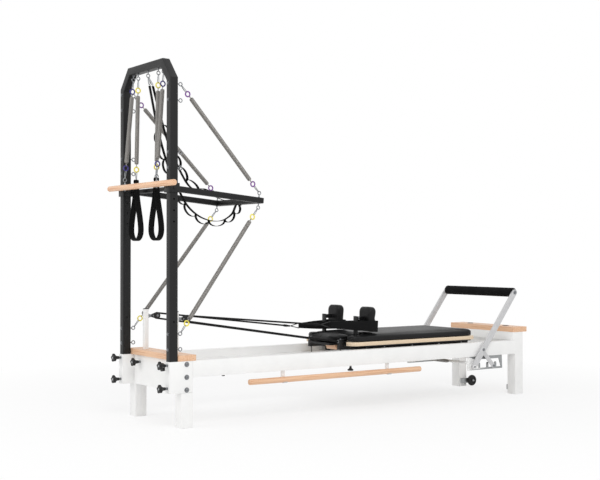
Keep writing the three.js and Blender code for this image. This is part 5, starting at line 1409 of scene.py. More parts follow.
def strap_line(top_x, route, way, swing):
    """A strap's middle line from its snap hook to its end along the push-through bar."""
    rise = way * (BAR_TALL / 2 + STRAP_THICK / 2 + 0.4)
    ends = [on_bar(u, 0, rise) for u in (BAR_LENGTH - BAR_TUBE, BAR_LENGTH - 1)]
    points = [Vector((top_x, 0, STRAP_TOP_Z))]
    for out, down in route:
        x = top_x + out * (ends[0].x - top_x)
        points.append(Vector((x, 0, STRAP_TOP_Z + down * (ends[0].z - STRAP_TOP_Z))))
    line = smooth_path(points + ends, 8)
    slope = swing / (ends[1].x - top_x)
    return [Vector((p.x, (p.x - top_x) * slope, p.z)) for p in line]


def at_share(line, share):
    """The point at a share of a line's length."""
    lengths = [(b - a).length for a, b in zip(line, line[1:])]
    left = share * sum(lengths)
    for (a, b), length in zip(zip(line, line[1:]), lengths):
        if left <= length:
            return a.lerp(b, left / length)
        left -= length
    return line[-1]


def sewn_loop(shape, line, first, second, outward):
    """A loop of webbing between two places where it is sewn to its strap. It hangs a little."""
    a, b = at_share(line, first), at_share(line, second)
    chord = (b - a).normalized()
    out = Vector((-chord.z, 0, chord.x)).normalized() * outward
    lift = out * (LOOP_DEPTH / BEZIER_REACH) - Z_AXIS * LOOP_SAG
    foot = out * STRAP_THICK * 0.9
    ends = [a - chord * 3 + foot * 0.4, a + chord * 2 + foot + lift, b - chord * 2 + foot + lift]
    path = bezier(ends + [b + chord * 3 + foot * 0.4], 16)
    webbing_band(shape, path, chord.cross(out), STRAP_WIDE - 1, STRAP_THICK * 0.8)
    for end in (a, b):
        for row in (-1, 0, 1):
            across = end + out * STRAP_THICK * 0.5
            bar = [across + Y_AXIS * (row * 7 + t) for t in (-3, 0, 3)]
            shape.tube([p + out * 1.4 for p in bar], 0.7, "thread", 5)


def build_loop_straps():
    """Two straps with sewn loops, from the crossbar to the push-through bar."""
    routes = (
        ("swag", SWAG_TOP_X, SWAG_ROUTE, -1, 0.0, SWAG_NODES, SWAG_CUT),
        ("front", FRONT_TOP_X, FRONT_ROUTE, 1, FRONT_SWING, FRONT_NODES, FRONT_CUT),
    )
    for name, top_x, route, way, swing, nodes, cut in routes:
        line = strap_line(top_x, route, way, swing)
        lengths = [0.0]
        for a, b in zip(line, line[1:]):
            lengths.append(lengths[-1] + (b - a).length)
        # The strap is split in two where one of its loops is sewn down
        split = min(range(len(line)), key=lambda i: abs(lengths[i] - nodes[cut] * lengths[-1]))
        centre = line[split]
        halves = (
            ("upper", line[: split + 1], nodes[: cut + 1], "frame", "yoke", line[0], centre),
            ("lower", line[split:], nodes[cut:], "yoke", "push_bar", centre, line[-1]),
        )
        for part, points, places, first, second, start, end in halves:
            shape = Shape()
            webbing_band(shape, points, Y_AXIS, STRAP_WIDE, STRAP_THICK)
            for a, b in zip(places, places[1:]):
                sewn_loop(shape, line, a, b, way)
            if part == "upper":
                eye = Vector((POST_MIDDLE_X, 0, CROSS_EYE_Z - HOOK_REST))
                snap_hook(shape, eye, Vector((top_x, 0, STRAP_TOP_Z + 4)), Y_AXIS)
            piece = shape.made(f"loop_strap_{name}_{part}")
            bent(piece, first, second, start, end, "webbing", "multi_loop_straps")


# Risers, pulleys and ropes

RISER_CAP = 4.0
CHEEK_INNER, CHEEK_OUTER = 7.6, 10.4
# Places along x at the ends of the ropes' lengths
LOW_FREE, HIGH_FREE, ROPE_HELD, ROPE_NEAR_STRAP = 250.0, 180.0, 118.0, 985.0
CLEAT_FRONT = 1147.0
CLEAT_Z = 396.0


def build_risers():
    """Capped square tubes, each with its swivel bracket, pulley and rope."""
    for side, word in SIDES:
        y = side * RISER_Y
        top = span("riser_" + word)[2][1]
        bottom = span("riser_" + word)[2][0]
        shape = Shape()
        lengths = (
            (RISER_SIDE, bottom, top - RISER_CAP, "white_frame"),
            (RISER_SIDE - 0.6, top - RISER_CAP, top, "cap"),
        )
        for wide, low, high, finish in lengths:
            outline = [(RISER_X + a, y + b) for a, b in rounded_section(wide, wide, 3.0)]
            shape.plate(outline, "z", low, high, finish)
        front = RISER_X + RISER_SIDE / 2
        # A silver swivel bracket carries the pulley's two dark cheeks
        bracket = [(front, -13), (front + 3, -13), (front + 8, -8), (SHEAVE_X - 26, -8)]
        bracket = [(x, SHEAVE_Z + z) for x, z in bracket + [(x, -z) for x, z in reversed(bracket)]]
        shape.plate(bracket, "y", y - 7, y + 7, "zinc")
        for way in (-1, 1):
            inner, outer = y + way * CHEEK_INNER, y + way * CHEEK_OUTER
            shape.plate(cheek_outline(), "y", *sorted((inner, outer)), "plastic")
            domed_bolt(shape, (SHEAVE_X, outer, SHEAVE_Z), (0, way, 0), 7, 3.2)
            domed_bolt(shape, (SHEAVE_X - 28, outer, SHEAVE_Z), (0, way, 0), 5, 2.4)
        shape.rod((SHEAVE_X, y - 7, SHEAVE_Z), (SHEAVE_X, y + 7, SHEAVE_Z), 3.6, "zinc", 0.5, 16)
        riser = shape.made("riser_and_pulley_" + word)
        settled(riser, "riser_post_" + word, "white_frame", "riser_" + word)
        build_sheave(y, word)
        build_rope(side, word)


def cheek_outline():
    """A pear shaped cheek plate from the swivel to round the sheave, in x and z."""
    pairs = []
    for i in range(17):
        t = math.radians(-100 + 200 * i / 16)
        pairs.append((SHEAVE_X + 17.5 * math.cos(t), SHEAVE_Z + 17.5 * math.sin(t)))
    for i in range(7):
        t = math.radians(110 + 140 * i / 6)
        pairs.append((SHEAVE_X - 30 + 8 * math.cos(t), SHEAVE_Z + 8 * math.sin(t)))
    return pairs


def build_sheave(y, word):
    """A grooved wheel with five pockets in each face."""
    shape = Shape()
    profile = [(-7, 5), (-7, 14.5), (-6.2, 16), (-5.2, 16), (-4.4, 13)]
    for i in range(7):
        t = math.pi * i / 6
        profile.append((-4.4 * math.cos(t), 13 - 3.2 * math.sin(t)))
    profile += [(5.2, 16), (6.2, 16), (7, 14.5), (7, 5)]
    shape.lathe((SHEAVE_X, y, SHEAVE_Z), Y_AXIS, profile, "plastic", 40, caps=False)
    inner = [(-7, 5), (7, 5)]
    shape.lathe((SHEAVE_X, y, SHEAVE_Z), Y_AXIS, inner, "plastic", 40, caps=False)
    # Five shallow pockets show that the wheel turns
    for i in range(5):
        t = 2 * math.pi * i / 5
        centre = (SHEAVE_X + 9.5 * math.cos(t), y, SHEAVE_Z + 9.5 * math.sin(t))
        for way in (-1, 1):
            face = (centre[0], y + way * 6.7, centre[2])
            shape.lathe(face, (0, way, 0), [(0, 2.4), (0.5, 2.2), (0.6, 0)], "hub", 14)
    sheave = shape.made("sheave_turned_" + word)
    work = bmesh.new()
    work.from_mesh(sheave.data)
    bmesh.ops.remove_doubles(work, verts=work.verts, dist=WELD)
    work.to_mesh(sheave.data)
    work.free()
    settled(sheave, "sheave_" + word, "black_plastic", "riser_sheave_" + word)


def build_rope(side, word):
    """A rope in five lengths."""
    y = side * RISER_Y
    tip = Vector((RING_TIP_X - 1.0, side * SHOULDER_Y, strap_at(word, RING_TIP_X)[0]))
    cleat = Vector((CLEAT_FRONT, side * CLEAT_Y, CLEAT_Z))
    low = Vector((SHEAVE_X, y, SHEAVE_Z - ROPE_TURN))
    high = Vector((SHEAVE_X, y, SHEAVE_Z + ROPE_TURN))

    def along(a, b, x):
        return a.lerp(b, (x - a.x) / (b.x - a.x))

    def run(a, b, steps):
        return [a.lerp(b, i / steps) for i in range(steps + 1)]

    turn = []
    for i in range(13):
        t = -math.pi / 2 - math.pi * i / 12
        turn.append(
            Vector((SHEAVE_X + ROPE_TURN * math.cos(t), y, SHEAVE_Z + ROPE_TURN * math.sin(t)))
        )
    low_free, high_free = along(low, cleat, LOW_FREE), along(high, tip, HIGH_FREE)
    high_strap = along(high, tip, ROPE_NEAR_STRAP)
    riser = "riser_post_" + word
    held, low_end, high_end = [Vector((x, y, SHEAVE_Z)) for x in (ROPE_HELD, LOW_FREE, HIGH_FREE)]
    lengths = (
        ("pulley", run(low_free, low, 20)[:-1] + turn, "frame", riser, low_end, held),
        ("lead", run(high, high_free, 20), "frame", riser, high_end, held),
        ("cleat", run(low_free, cleat, 40), "frame", "carriage", low_free, cleat),
        ("return", run(high_free, high_strap, 40), "frame", "carriage", high_free, high_strap),
        ("strap", run(high_strap, tip, 8), "carriage", "strap_" + word, high_strap, tip),
    )
    for name, path, first, second, start, end in lengths:
        shape = Shape()
        shape.tube(path, ROPE_RADIUS, "rope", 12)
        if name == "strap":
            rope_end(shape, tip, (path[-2] - path[-1]).normalized())
        piece = shape.made(f"rope_{word}_{name}")
        bent(piece, first, second, start, end, "webbing", "rope_" + word)


def rope_end(shape, tip, back):
    """The whipped end of the rope, doubled back over the ring."""
    shape.lathe(tip + back * 46, -back, [(0, 5.4), (2, 6.4), (28, 6.6), (30, 5.4)], "rope", 16)
    for i in range(6):
        shape.torus(tip + back * (22 + 4 * i), back, 6.6, 0.9, "thread", 20, 6)


# Star knobs

KNOB_LOBES, KNOB_STEPS = 5, 60
KNOB_FACE = 50.2
# Height above the wall, radius and depth of the lobes
KNOB_ROWS = ((10, 7.6, 0), (11, 8.5, 0), (24, 9.5, 0), (31, 13, 0.04), (36, 21, 0.14))
KNOB_ROWS += ((38, 23.4, 0.17), (41, 24, 0.18), (47, 24, 0.18), (50, 22.8, 0.17), (51.6, 20, 0.15))
KNOB_ROWS += ((52, 16, 0.08), (51.2, 9, 0), (50.6, 8, 0), (50.4, 0.2, 0))
SOCKET_BACK = -70.0
RAIL_KNOB = (1139.95, -279.5)
KNOB_HEIGHTS = {"upper": 334.8, "lower": 213.7, "riser": 314.755}


def star_knob(shape, wall, axis, scale=1.0, tall=1.0):
    """A five lobed moulded head on its neck, a grey cap and the stud into the frame."""
    wall, axis = Vector(wall), Vector(axis).normalized()
    turn = directions(axis, KNOB_STEPS)

    def ring(along, radius, lobe):
        centre, points = wall + axis * along * tall, []
        for i, way in enumerate(turn):
            wave = math.cos(KNOB_LOBES * 2 * math.pi * i / KNOB_STEPS)
            points.append(centre + way * (radius * scale * (1 - lobe + lobe * wave)))
        return points

    shape.rings([ring(*row) for row in KNOB_ROWS], "plastic")
    start = wall + axis * KNOB_FACE * tall
    cap = [(along, radius * scale) for along, radius in ((0, 6), (1.0, 6), (1.6, 4.6), (1.6, 0))]
    shape.lathe(start, axis, cap, "hub", 20)
    shape.rod(wall - axis * 4, wall + axis * 11 * tall, 4.6, "zinc", 0.4, 16)
    shape.lathe(wall, axis, [(0, 9), (2.2, 9), (3, 8)], "zinc", 24)


def build_knobs():
    """Star knobs of the sockets, the risers and the near rail."""
    for side, word in SIDES:
        for level in ("upper", "lower"):
            node = f"socket_knob_{level}_{word}"
            shape = Shape()
            wall = (SOCKET_BACK, side * POST_MIDDLE_Y, KNOB_HEIGHTS[level])
            star_knob(shape, wall, -X_AXIS)
            piece = shape.made(f"star_knob_{level}_{word}")
            settled(piece, f"{level}_socket_knob_{word}", "black_plastic", node)
        shape = Shape()
        star_knob(shape, (0.0, side * RISER_Y, KNOB_HEIGHTS["riser"]), -X_AXIS)
        piece = shape.made("star_knob_riser_" + word)
        settled(piece, "riser_clamp_knob_" + word, "black_plastic", "riser_knob_" + word)
    shape = Shape()
    under = (*RAIL_KNOB, span("rail_far")[2][0])
    star_knob(shape, under, -Z_AXIS, 0.76, 0.6)
    settled(shape.made("star_knob_rail"), "rail_clamp_knob", "black_plastic", "rail_knob")


# Cushions and pads

# Metres of a cover's flat side that stay at rest, and that a cover may stand proud of its solid
HELD_LAYER = 0.002
CLOTH_FRAMES = 20
PROUD = 0.0005
SEAM_STEP = 8.0
# Rounding of a shoulder pad's outline and of its two faces
PAD_CORNER, PAD_EDGE = 30.0, 15.0
NOTCH_HALF = 185.0


def plump(node, name, body, flat_side=None, block=None):
    """A cover inflated by cloth from the solid of its CAD node, or from a finer block in its
    place. The flat side stays at rest."""
    size = look().cushions
    mesh = block or frame["nodes"][node].data.copy()
    mesh.materials.clear()
    mesh.materials.append(finish_of("leathercloth"))
    cover = bpy.data.objects.new(name, mesh)
    bpy.context.scene.collection.objects.link(cover)
    low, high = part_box(node)
    centre = (low + high) / 2
    extent = high - low
    scale = [1 - 2 * size.shrink / extent[i] for i in range(3)]
    for vertex in mesh.vertices:
        for i in range(3):
            vertex.co[i] = centre[i] + (vertex.co[i] - centre[i]) * scale[i]
    remesh = cover.modifiers.new("cover", "REMESH")
    remesh.mode = "VOXEL"
    remesh.voxel_size = size.voxel
    remesh.use_smooth_shade = True
    bake(cover)
    rest = [v.co.copy() for v in cover.data.vertices]
    held = held_points(rest, flat_side)
    inflate(cover, held, size.pressure)
    cap_swell(cover, rest, size.swell)
    keep_inside(cover, low, high)
    finer = cover.modifiers.new("finer", "SUBSURF")
    finer.levels = finer.render_levels = 1
    bake(cover)
    for polygon in cover.data.polygons:
        polygon.use_smooth = True
    settled(cover, body, "vinyl", node)
    return cover


def held_points(rest, flat_side):
    """Points on the side that rests on a board: "z" is the lowest layer, "x" the front one."""
    if flat_side is None:
        return []
    axis = "xyz".index(flat_side)
    lowest = min(c[axis] for c in rest)
    return [i for i, c in enumerate(rest) if c[axis] < lowest + HELD_LAYER]


def inflate(cover, held, pressure):
    """Fills the cover by a short cloth run, with the held points at rest."""
    group = cover.vertex_groups.new(name="held")
    group.add(held, 1.0, "REPLACE")
    cloth = cover.modifiers.new("filling", "CLOTH")
    settings = cloth.settings
    settings.use_pressure = True
    settings.uniform_pressure_force = pressure
    settings.effector_weights.gravity = 0
    if held:
        settings.vertex_group_mass = "held"
    cloth.point_cache.frame_end = CLOTH_FRAMES
    for step in range(1, CLOTH_FRAMES + 1):
        bpy.context.scene.frame_set(step)
    bake(cover)
    bpy.context.scene.frame_set(1)


def cap_swell(cover, rest, cap):
    """Brings points back that moved further than the cap."""
    for vertex, at in zip(cover.data.vertices, rest):
        moved = vertex.co - at
        if moved.length > cap:
            vertex.co = at + moved.normalized() * cap


def keep_inside(cover, low, high):
    """Presses the cover back into the space of its solid, and flattens it on what carries it."""
    for vertex in cover.data.vertices:
        for i in range(3):
            vertex.co[i] = min(max(vertex.co[i], low[i] - PROUD), high[i] + PROUD)
        vertex.co.z = max(vertex.co.z, low.z)


def padded_block(node, corner, edge, steps=5):
    """A block with rounded corners in y and z and rounded edges along x, in a node's place."""
    xs, ys, zs = span(node)
    rings = []
    for way, face in ((1, xs[0]), (-1, xs[1])):
        side = []
        for i in range(steps + 1):
            t = math.pi / 2 * i / steps
            inset = edge * (1 - math.sin(t))
            x = face + way * edge * (1 - math.cos(t))
            wide, tall = (ys[0] + inset, ys[1] - inset), (zs[0] + inset, zs[1] - inset)
            pairs = rounded_loop(wide, tall, corner)
            side.append([Vector((x, y, z)) for y, z in pairs])
        rings += side if way > 0 else side[::-1]
    shape = Shape()
    shape.rings(rings, "leathercloth")
    made = shape.made("block")
    mesh = made.data
    bpy.data.objects.remove(made)
    return mesh


def seam(shape, cover, path, closed=True):
    """A corded seam round a cushion, laid on its cover."""
    tree = BVHTree.FromObject(cover, bpy.context.evaluated_depsgraph_get())
    laid = [measured(tree.find_nearest(placed(p))[0]) for p in path]
    eased_path = []
    for i, point in enumerate(laid):
        eased_path.append((laid[i - 1] + point * 2 + laid[(i + 1) % len(laid)]) / 4)
    if not closed:
        eased_path = eased_path[1:-1]
    shape.tube(eased_path, look().cushions.seam / MM, "leathercloth", 8, closed=closed)


def evenly(path, step, closed=True):
    """The same path with its points about a step apart."""
    points = []
    for i, a in enumerate(path if closed else path[:-1]):
        b = path[(i + 1) % len(path)]
        count = max(1, round((b - a).length / step))
        points += [a.lerp(b, k / count) for k in range(count)]
    return points


def rounded_loop(xs, ys, corner, steps=8):
    """A rounded rectangle as a closed path of pairs."""
    centre = (middle(xs), middle(ys))
    pairs = rounded_section(xs[1] - xs[0], ys[1] - ys[0], corner, steps)
    return [(centre[0] + a, centre[1] + b) for a, b in pairs]


def build_carriage_cushion():
    """The carriage's cover and the seam round its lower edge."""
    cover = plump("carriage_cushion", "carriage_cover", "carriage", "z")
    xs, ys, zs = span("carriage_cushion")
    z = zs[0] + 2.2
    inset = look().cushions.shrink / MM - 1.2
    outline = rounded_loop((xs[0] + inset, xs[1] - inset), (ys[0] + inset, ys[1] - inset), 43)
    # The seam stops short of the front edge, where the headrest swings
    front = [p for p in outline if p[0] > xs[0] + inset + 0.5 or abs(p[1]) > NOTCH_HALF]
    ordered = sorted_from_notch(front, xs[0] + inset)
    shape = Shape()
    path = [Vector((x, y, z)) for x, y in ordered]
    seam(shape, cover, evenly(path, SEAM_STEP, closed=False), closed=False)
    settled(shape.made("carriage_cover_seam"), "carriage", "vinyl")


def sorted_from_notch(outline, front_x):
    """Turns a closed outline so that it starts and ends beside the notch at its front edge."""
    gaps = []
    for i, place in enumerate(outline):
        after = outline[(i + 1) % len(outline)]
        at_front = max(place[0], after[0]) < front_x + 60
        gaps.append(math.dist(place, after) if at_front else 0)
    start = gaps.index(max(gaps)) + 1
    return outline[start:] + outline[:start]


def build_headrest():
    """The hinged board with its pad, seam, knuckles and prop."""
    refined("headrest_board", "tower_black", "black_plastic", 1.2)
    cover = plump("headrest_pad", "headrest_cover", "headrest", "z")
    xs, ys, zs = span("headrest_pad")
    z = zs[0] + (zs[1] - zs[0]) * 0.34
    path = [Vector((x, y, z)) for x, y in rounded_loop(xs, ys, 22)]
    shape = Shape()
    seam(shape, cover, evenly(path, SEAM_STEP))
    # Hinge knuckles
    board = span("headrest_board")
    hinge_x, hinge_z = board[0][1] - 4.0, middle(board[2])
    for i in range(7):
        y0 = board[1][0] + 4 + i * (board[1][1] - board[1][0] - 8) / 7
        y1 = y0 + (board[1][1] - board[1][0] - 8) / 7 - 1.2
        shape.rod((hinge_x, y0, hinge_z), (hinge_x, y1, hinge_z), 4.5, "zinc", 0.5, 16)
    settled(shape.made("headrest_trim"), "headrest", "vinyl")
    refined("headrest_prop", "beech_across", "beech", 1.5)


# Carriage

POST_BOLT_Z = 530.0
STRAP_BAND_START = 1080.0
# Height of the strap's middle and its width, at places along x
STRAP_STATIONS = {
    "near": ((1010, 503, 38), (1076, 501, 40), (1180, 494, 56), (1300, 486, 64), (1400, 481, 68)),
    "far": ((1010, 478, 36), (1076, 478, 36), (1120, 477, 42), (1200, 477, 52), (1400, 477, 58)),
}
STRAP_CORNER = 28.0


def build_carriage():
    """The deck, the steel underframe, its cleats and the bolts of its sides."""
    edges = look().edges
    refined("carriage_deck", "birch", "pale_wood", 1.6)
    refined("carriage_underframe", "tower_black", "black_tube", edges.plate / MM)
    shape = Shape()
    for side, _ in SIDES:
        y = side * CLEAT_Y
        rope_cleat(shape, y)
        for x in (1420.0, 1640.0, 1860.0, 2050.0):
            domed_bolt(shape, (x, side * 250.0, 356.0), (0, side, 0), 5.5, 3)
    settled(shape.made("carriage_fittings"), "carriage", "black_plastic")


def rope_cleat(shape, y):
    """The cleat's bushing, where the rope enters it, and its clamping screw on top."""
    face = (CLEAT_FRONT + 1.0, y, CLEAT_Z)
    shape.lathe(face, -X_AXIS, [(0, 9), (3, 9), (4.5, 7.5), (4.5, 5.2), (1, 5.2)], "zinc", 24)
    domed_bolt(shape, (CLEAT_FRONT + 17, y, 408.0), Z_AXIS, 6, 3)


def build_rollers():
    """Each axle with a tyred roller at both ends."""
    for name in ("front", "rear"):
        xs, ys, zs = span("roller_axle_" + name)
        x, z = middle(xs), middle(zs)
        shape = Shape()
        shape.rod((x, ys[0], z), (x, ys[1], z), 8, "zinc", 1.0, 24)
        for side, _ in SIDES:
            outer = side * ys[1]
            profile = [(0, 12), (0.4, 19.5), (2.2, 21.7), (15.8, 21.7), (17.6, 19.5), (18, 12)]
            shape.lathe((x, outer, z), (0, -side, 0), profile, "tyre", 40)
            domed_bolt(shape, (x, outer, z), (0, side, 0), 7, 2.4)
        piece = shape.made("rollers_" + name)
        settled(piece, name + "_rollers", "black_plastic", "roller_axle_" + name)


def build_shoulder_rests():
    """Posts with padded rests, their bolts and the hand straps round them."""
    for side, word in SIDES:
        y = side * SHOULDER_Y
        body = "shoulder_rest_" + word
        refined("shoulder_post_" + word, "tower_black", "black_frame", 2.0)
        node = "shoulder_pad_" + word
        block = padded_block(node, PAD_CORNER, PAD_EDGE)
        cover = plump(node, "shoulder_cover_" + word, body, "x", block)
        xs, ys, zs = span(node)
        shape = Shape()
        path = [Vector((xs[0] + PAD_EDGE, a, b)) for a, b in rounded_loop(ys, zs, PAD_CORNER)]
        seam(shape, cover, evenly(path, SEAM_STEP))
        # The bolts through the post's arm
        for up in (-6, 6):
            bolt = (xs[0] - 40, y + side * 7.5, POST_BOLT_Z + up)
            domed_bolt(shape, bolt, (0, side, 0), 4.2, 2)
        settled(shape.made("shoulder_trim_" + word), body, "vinyl")
        build_hand_strap(side, word)


def strap_at(word, x):
    """The height of a hand strap's middle and its width at x."""
    stations = STRAP_STATIONS[word]
    for (x0, z0, w0), (x1, z1, w1) in zip(stations, stations[1:]):
        if x <= x1:
            t = max(0, (x - x0) / (x1 - x0))
            return z0 + (z1 - z0) * t, w0 + (w1 - w0) * t
    return stations[-1][1:]


def strap_band(shape, word, pairs, thick, narrower=0.0):
    """A band of webbing on edge through (x, y) pairs, as high and wide as its strap there."""
    path = smooth_path([Vector((x, y, strap_at(word, x)[0])) for x, y in pairs], 3)

    def section(point):
        wide = strap_at(word, point.x)[1] - narrower
        return [(a, b) for b, a in rounded_section(wide, thick, thick * 0.42, 2)]

    shape.sweep(path, section, "webbing", side=Z_AXIS)


def build_hand_strap(side, word):
    """A padded strap round the shoulder rest that narrows to its ring."""
    y = side * SHOULDER_Y
    xs, ys, _ = span("hand_strap_" + word)
    half = (ys[1] - ys[0]) / 2 - 3
    face, end = span("shoulder_pad_" + word)[0][0], xs[1] - 3
    outline = [(STRAP_BAND_START, -8), (1150, -20), (1240, -half * 0.66), (face - 8, -half + 2)]
    outline += [(face + 14, -half)]
    for i in range(9):
        t = -math.pi / 2 + math.pi / 2 * i / 8
        x, v = end - STRAP_CORNER, STRAP_CORNER - half
        outline.append((x + STRAP_CORNER * math.cos(t), v + STRAP_CORNER * math.sin(t)))
    outline += [(x, -v) for x, v in reversed(outline)]
    outline = [(x, y + v) for x, v in outline]
    shape = Shape()
    strap_band(shape, word, outline, 4.2, 6.0)
    strap_band(shape, word, [p for p in outline if p[0] > face - 90], 5.4)
    # The neck of the strap is folded over the ring and sewn down
    neck = [(1140, 11), (1098, 9), (1079, 4.5), (1076, 0)]
    neck += [(x, -v) for x, v in reversed(neck[:-1])]
    strap_band(shape, word, [(x, y + v) for x, v in neck], 2.6, 8.0)
    for row in (-1, 0, 1):
        for i in range(6):
            xs = [STRAP_BAND_START + 14 + 7 * i + t for t in (0, 2.4, 4.8)]
            at = [Vector((x, y + side * 11.6, strap_at(word, x)[0] + row * 11)) for x in xs]
            shape.tube(at, 0.5, "thread", 5)
    z, wide = strap_at(word, STRAP_BAND_START)
    reach = wide / 2 - 3
    tip_z = strap_at(word, RING_TIP_X)[0]
    ring = [(RING_TIP_X + 3, tip_z), (STRAP_BAND_START - 3, z + reach)]
    ring += [(STRAP_BAND_START + 1, z + reach - 3), (STRAP_BAND_START + 1, z - reach + 3)]
    ring += [(STRAP_BAND_START - 3, z - reach)]
    corners = [Vector((x, y, z)) for x, z in ring]
    shape.tube(rounded_corners(corners, 5.0), 2.8, "plastic", 10, closed=True, side=Y_AXIS)
    settled(shape.made("hand_strap_sewn_" + word), "strap_" + word, "webbing", "hand_strap_" + word)


def rounded_corners(corners, radius, steps=4):
    """A closed path through corners that are cut round, with even steps across each."""
    path = []
    for i, corner in enumerate(corners):
        before, after = corners[i - 1], corners[(i + 1) % len(corners)]
        room = min((before - corner).length, (after - corner).length) * 0.45
        reach = min(radius, room)
        a = corner + (before - corner).normalized() * reach
        b = corner + (after - corner).normalized() * reach
        for k in range(steps + 1):
            t = k / steps
            path.append(a * (1 - t) ** 2 + corner * 2 * t * (1 - t) + b * t**2)
    return path


# Footbar

FOAM_EDGE = 6.0
CRADLE_PAINTED_END = 2160.0
FOOTBAR_PIVOT = (2090.0, 206.0)
FOOTBAR_TOP = (2452.3, 668.0)
STRUT_TOP, STRUT_FOOT = (2171.4, 309.9), (2276.8, 200.3)


def build_footbar():
    """Arms, struts and cradle, and the foam sleeve on the bar."""
    plate = look().edges.plate / MM
    refined("footbar_frame", "aluminium", "grey_metal", 1.6)
    for _, word in SIDES:
        refined("footbar_strut_" + word, "aluminium", "grey_metal", 1.6)
    painted = ("white_frame", lambda at: at.x < CRADLE_PAINTED_END)
    refined("footbar_cradle", "cradle", "cradle_steel", plate, picks=[painted])
    xs, ys, zs = span("footbar_foam")
    centre = (middle(xs), ys[0], middle(zs))
    radius = (xs[1] - xs[0]) / 2
    profile = [(0, 16)]
    length = ys[1] - ys[0]
    for i in range(7):
        t = math.pi / 2 * i / 6
        profile.append((FOAM_EDGE * (1 - math.cos(t)), radius - FOAM_EDGE * (1 - math.sin(t))))
    # Slow waves where hands have pressed the sleeve
    rng = random.Random(7)
    for i in range(1, 40):
        along = FOAM_EDGE + (length - 2 * FOAM_EDGE) * i / 40
        profile.append((along, radius - 0.5 * rng.random()))
    profile += [(length - a, r) for a, r in reversed(profile[1:8])] + [(length, 16)]
    shape = Shape()
    shape.lathe(centre, Y_AXIS, profile, "foam", 48)
    piece = shape.made("footbar_sleeve", smooth=60)
    settled(piece, "footbar", "foam", "footbar_foam")
    build_footbar_fittings()


def build_footbar_fittings():
    """Bolts at the arms' pivots and ends, and at the struts' pins."""
    outer = span("footbar_frame")[1][1]
    shape = Shape()
    struts = {word: Shape() for _, word in SIDES}
    for side, word in SIDES:
        for x, z in (FOOTBAR_PIVOT, FOOTBAR_TOP):
            domed_bolt(shape, (x, side * outer, z), (0, side, 0), 13, 5)
        x, z = STRUT_TOP
        domed_bolt(shape, (x, side * outer, z), (0, side, 0), 10, 4)
        x, z = STRUT_FOOT
        strut_face = span("footbar_strut_far")[1][1]
        domed_bolt(struts[word], (x, side * strut_face, z), (0, side, 0), 9, 3.6)
    settled(shape.made("footbar_bolts"), "footbar", "cradle_steel")
    for word, strut in struts.items():
        settled(strut.made("strut_bolt_" + word), "strut_" + word, "cradle_steel")


# Wheels and pole


def build_wheels():
    """Tyred wheels with five spokes."""
    for side, word in SIDES:
        xs, ys, zs = span("transport_wheel_" + word)
        centre = Vector((middle(xs), middle(ys), middle(zs)))
        radius, half = (zs[1] - zs[0]) / 2, (ys[1] - ys[0]) / 2
        shape = Shape()
        tyre = [(-half + 2, 22), (-half + 2, 26), (-half + 3, radius - 6)]
        tyre += [(-half + 5.5, radius - 2), (-half + 9, radius - 0.3)]
        tyre += [(-half + 9.6, radius - 1.2), (-half + 10.4, radius)]
        tyre += [(-a, r) for a, r in reversed(tyre)]
        shape.lathe(centre, Y_AXIS, tyre, "tyre", 56, caps=False)
        hub = [(-half + 1, 0.1), (-half + 1, 11), (-half + 2.6, 12.5), (-half + 5, 13)]
        hub += [(-half + 5.4, 20), (-half + 3.2, 21), (-half + 3.2, 23.4)]
        hub += [(-a, r) for a, r in reversed(hub)]
        shape.lathe(centre, Y_AXIS, hub, "plastic", 56)
        for way in (-1, 1):
            for i in range(5):
                t = 2 * math.pi * i / 5
                spoke = Vector((math.cos(t), 0, math.sin(t)))
                start = centre + Vector((0, way * (half - 5.2), 0)) + spoke * 12
                shape.rod(start, start + spoke * 9, 2.2, "plastic", 0.5, 10)
        domed_bolt(shape, centre + Vector((0, side * -(half - 1), 0)), (0, -side, 0), 8, 4)
        piece = shape.made("wheel_turned_" + word)
        settled(piece, "wheel_" + word, "black_plastic", "transport_wheel_" + word)


def build_pole():
    """The stored dowel."""
    xs, ys, zs = span("stored_pole")
    radius = (zs[1] - zs[0]) / 2
    start, end = (xs[0], middle(ys), middle(zs)), (xs[1], middle(ys), middle(zs))
    shape = Shape()
    shape.rod(start, end, radius, "beech_long", 5.0, 40)
    settled(shape.made("pole_turned"), "pole", "beech", "stored_pole")


# Stage

CAMERA_PLACE = (-4.07145, -5.45045, 0.92949)
CAMERA_TURN = (90.636, 0.0, -34.906)
SENSOR = 36.0
# Share of plain white in the floor beside the object, and the metres over which it grows to 1
FLOOR_LIT_SHARE = 0.68
FLOOR_FADE = (1.3, 3.2)
FLOOR_HALF = 20.0


def seen_rays(tree):
    """1 for the rays that show a surface in the picture or in a gloss, 0 for those that light."""
    ray = add_node(tree, "ShaderNodeLightPath")
    seen = maths(tree, "MAXIMUM", ray.outputs["Is Camera Ray"], ray.outputs["Is Glossy Ray"])
    return maths(tree, "MAXIMUM", seen, ray.outputs["Is Transmission Ray"])


